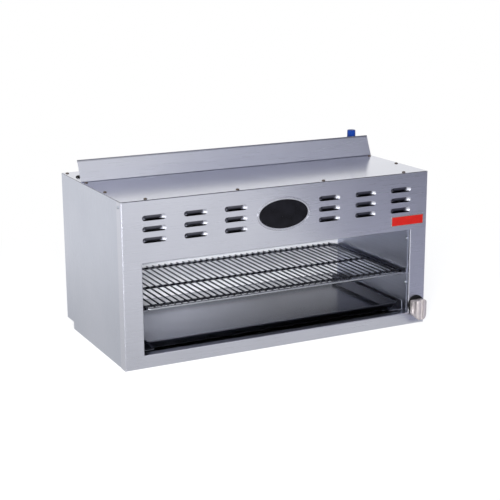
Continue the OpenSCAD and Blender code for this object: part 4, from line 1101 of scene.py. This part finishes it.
piece("cover_screws_domed", bm, dark_screws, "cabinet", ["cover_screws"], sharp=50)

# %% [markdown]
# The bezel is a black ring that hides the knob's hole. It is spun about an axis that faces the
# front, and its front edge has the larger radius.

# %% Bezel
FACING_FRONT = Matrix.Rotation(math.pi / 2, 4, "X")
BEZEL_BORE = 6.0
bezel_r, bezel_t = (bezel_high.x - bezel_low.x) / 2, bezel_high.y - bezel_low.y
profile = rounded([(BEZEL_BORE, 0), (bezel_r, 0), (bezel_r, bezel_t), (BEZEL_BORE, bezel_t)], [0.2, 1.6])
bm = bmesh.new()
bezel_place = Matrix.Translation((knob_x, bezel_high.y, knob_z)) @ FACING_FRONT
rows = turned(bm, [tuple(p) for p in profile], bezel_place)
skin(bm, [rows[-1], rows[0]], closed=True)
piece("knob_bezel_moulded", bm, black_plastic, "cabinet", ["knob_bezel"], sharp=40)

# %% [markdown]
# The knob is a die casting, and its shape has no plain solid in it: a tall bar grip that widens
# towards the panel, on a round skirt, with a groove down the front and a finger hollow on each
# side. It is made by adding and cutting plain volumes, then one voxel remesh joins them into a
# single skin and a little smoothing rounds every edge, much as tumbling does to the casting.

# %% Control knob
GRIP_W, GRIP_UP, GRIP_DOWN, GRIP_CORNER = 34.0, 19.0, 41.0, 6.0
SKIRT_R, SKIRT_T, SKIRT_TAPER = 15.5, 8.0, 0.6
GROOVE_R, GROOVE_SINK, GROOVE_PAST = 5.6, 1.2, 5.0
HOLLOW_OUT, HOLLOW_DROP, HOLLOW_FRONT, HOLLOW_SIZE = 3.5, 9.0, 0.55, (5.5, 14, 8, 1)
KNOB_VOXEL = 0.7
low, high, _ = box_mm("control_knob")
knob_place = Matrix.Translation((knob_x, high.y, knob_z)) @ FACING_FRONT
depth = high.y - low.y
# Each row of the grip: its share of the width, of the height, and its place in mm along the axis.
GRIP_ROWS = (1.26, 0.84, 0), (1.22, 0.88, 9), (1.03, 0.98, 17), (1, 1, depth - 3.4)
GRIP_CROWN = (0.93, 0.97, depth - 1.6), (0.62, 0.92, depth)


def volume(bm, name):
    """A closed mesh, kept only while other volumes are added to it or cut by it."""
    bmesh.ops.recalc_face_normals(bm, faces=bm.faces)
    mesh = bpy.data.meshes.new(name)
    bm.to_mesh(mesh)
    bm.free()
    made = bpy.data.objects.new(name, mesh)
    scene.collection.objects.link(made)
    return made


bm = bmesh.new()
half = GRIP_W / 2
outline = rounded([(0, GRIP_UP), (half, GRIP_UP), (half, 0)], [GRIP_CORNER])[1:-1]
arc = [-math.pi * i / 12 for i in range(13)]
outline += [Vector((half * math.cos(a), half - GRIP_DOWN + half * math.sin(a))) for a in arc]
outline += rounded([(-half, 0), (-half, GRIP_UP), (0, GRIP_UP)], [GRIP_CORNER])[1:-1]
rows = []
for wide, tall, h in GRIP_ROWS + GRIP_CROWN:
    rows.append([bm.verts.new(knob_place @ Vector((p.x * wide, p.y * tall, h))) for p in outline])
skin(bm, rows, closed=True)
capped(bm, rows)
grip = volume(bm, "grip")

bm = bmesh.new()
profile = rounded([(TIP, 0), (SKIRT_R, 0), (SKIRT_R - SKIRT_TAPER, SKIRT_T), (TIP, SKIRT_T)], [0.8, 2.2])
capped(bm, turned(bm, [tuple(p) for p in profile], knob_place))
skirt = volume(bm, "skirt")

bm = bmesh.new()
ends = (-GRIP_DOWN - GROOVE_PAST, 0, GRIP_UP + GROOVE_PAST)
wire(bm, [knob_place @ Vector((0, z, depth - GROOVE_SINK)) for z in ends], GROOVE_R)
groove = volume(bm, "groove")

bm = bmesh.new()
for side in (-1, 1):
    spot = Matrix.Translation((side * (half + HOLLOW_OUT), -HOLLOW_DROP, depth * HOLLOW_FRONT))
    hollow = knob_place @ spot @ Matrix.Diagonal(HOLLOW_SIZE)
    bmesh.ops.create_icosphere(bm, subdivisions=3, radius=1, matrix=hollow)
hollows = volume(bm, "hollows")
print("knob", depth, "mm deep, from four volumes")

# %% [markdown]
# The volumes become one casting. The voxel size is fine enough for the groove's edges and
# coarse enough to keep the mesh light.

# %% Cast the knob
for tool, operation in ((skirt, "UNION"), (groove, "DIFFERENCE"), (hollows, "DIFFERENCE")):
    step = grip.modifiers.new(tool.name, "BOOLEAN")
    step.operation, step.object, step.solver = operation, tool, "EXACT"
step = grip.modifiers.new("skin", "REMESH")
step.mode, step.voxel_size = "VOXEL", KNOB_VOXEL
step = grip.modifiers.new("tumbling", "SMOOTH")
step.factor, step.iterations = 0.5, 5
depsgraph = bpy.context.evaluated_depsgraph_get()
cast = bpy.data.meshes.new_from_object(grip.evaluated_get(depsgraph), depsgraph=depsgraph)
for used in (grip, skirt, groove, hollows):
    bpy.data.objects.remove(used)
bm = bmesh.new()
bm.from_mesh(cast)
piece("control_knob_cast", bm, knob_metal, "knob", ["control_knob"], sharp=180)

# %% [markdown]
# The badge is one oval pressing. A raised rim surrounds a shallow dish, and black lacquer fills
# the dish. Each closed row is written as how far in it lies and how far it stands off the face.
# The rim gives the second as a share of its thickness.

# %% Badge
OVAL_SIDES = 96
FRONT = (0, -1, 0)
low, high, badge = box_mm("badge_rim_plate")
field_low, field_high, _ = box_mm("badge_field")
rise, proud = high.y - low.y, high.y - field_low.y


def ovals(bm, half_w, half_h, steps):
    """Closed rows round the badge's middle, each as inset and distance in front of the face."""
    rows = []
    for inset, out in steps:
        w, h = half_w - inset, half_h - inset
        oval = [(w * math.cos(a), h * math.sin(a)) for a in circle(OVAL_SIDES)]
        rows.append([bm.verts.new((badge.x + x, high.y - out, badge.z + z)) for x, z in oval])
    skin(bm, rows, closed=True)
    capped(bm, rows)


bm = bmesh.new()
rim_steps = [(0, 0.0), (0, 0.6), (0.5, 1), (1.6, 1), (2.0, 0.5)]
rim_steps += [(2.6, 0.5), (3.2, 1), (6.0, 1), (6.8, 0.7), (9, 0.7)]
ovals(bm, (high.x - low.x) / 2, (high.z - low.z) / 2, [(inset, rise * share) for inset, share in rim_steps])
piece(
    "badge_rim_pressed", bm, badge_rim, "cabinet", ["badge_rim_plate"],
    outward=((0, low.y, high.z - 4), FRONT),
)

bm = bmesh.new()
field_steps = [(0, rise * 0.72), (0, proud - 0.4), (0.5, proud - 0.15), (6, proud - 0.08), (20, proud)]
ovals(bm, (field_high.x - field_low.x) / 2, (field_high.z - field_low.z) / 2, field_steps)
piece(
    "badge_field_lacquered", bm, badge_black, "cabinet", ["badge_field"],
    outward=((0, low.y - 1, badge.z), FRONT),
)

# %% [markdown]
# The plate under the louvres is tinplate with its red print held back from the edge, so that a
# thin bright border is left. Both layers are rounded rectangles, turned up to face the front.

# %% Red plate
PLATE_BORDER, PLATE_CORNER = 2.4, 2.0
TIN_OUT, PRINT_OUT, PRINT_BASE, SOFT_EDGE = 0.6, 0.8, 0.62, (0.15, 0.12)
low, high, middle = box_mm("red_plate")
for name, inset, material, out, base in (
    ("red_plate_tin", 0.0, plate_edge, TIN_OUT, 0.0),
    ("red_plate_print", PLATE_BORDER, plate_red, PRINT_OUT, PRINT_BASE),
):
    bm = bmesh.new()
    rows = []
    for back_off, y in ((0, base), (0, out - SOFT_EDGE[1]), (SOFT_EDGE[0], out)):
        shrink = inset + back_off
        sides = (low.x + shrink, high.x - shrink, low.z + shrink, high.z - shrink)
        row = round_rectangle(bm, *sides, 0, PLATE_CORNER)
        for v in row:
            v.co = (v.co.x, high.y - y, v.co.y)
        rows.append(row)
    skin(bm, rows, closed=True)
    capped(bm, rows)
    piece(
        name, bm, material, "cabinet", ["red_plate"],
        outward=((middle.x, low.y, middle.z), FRONT),
    )
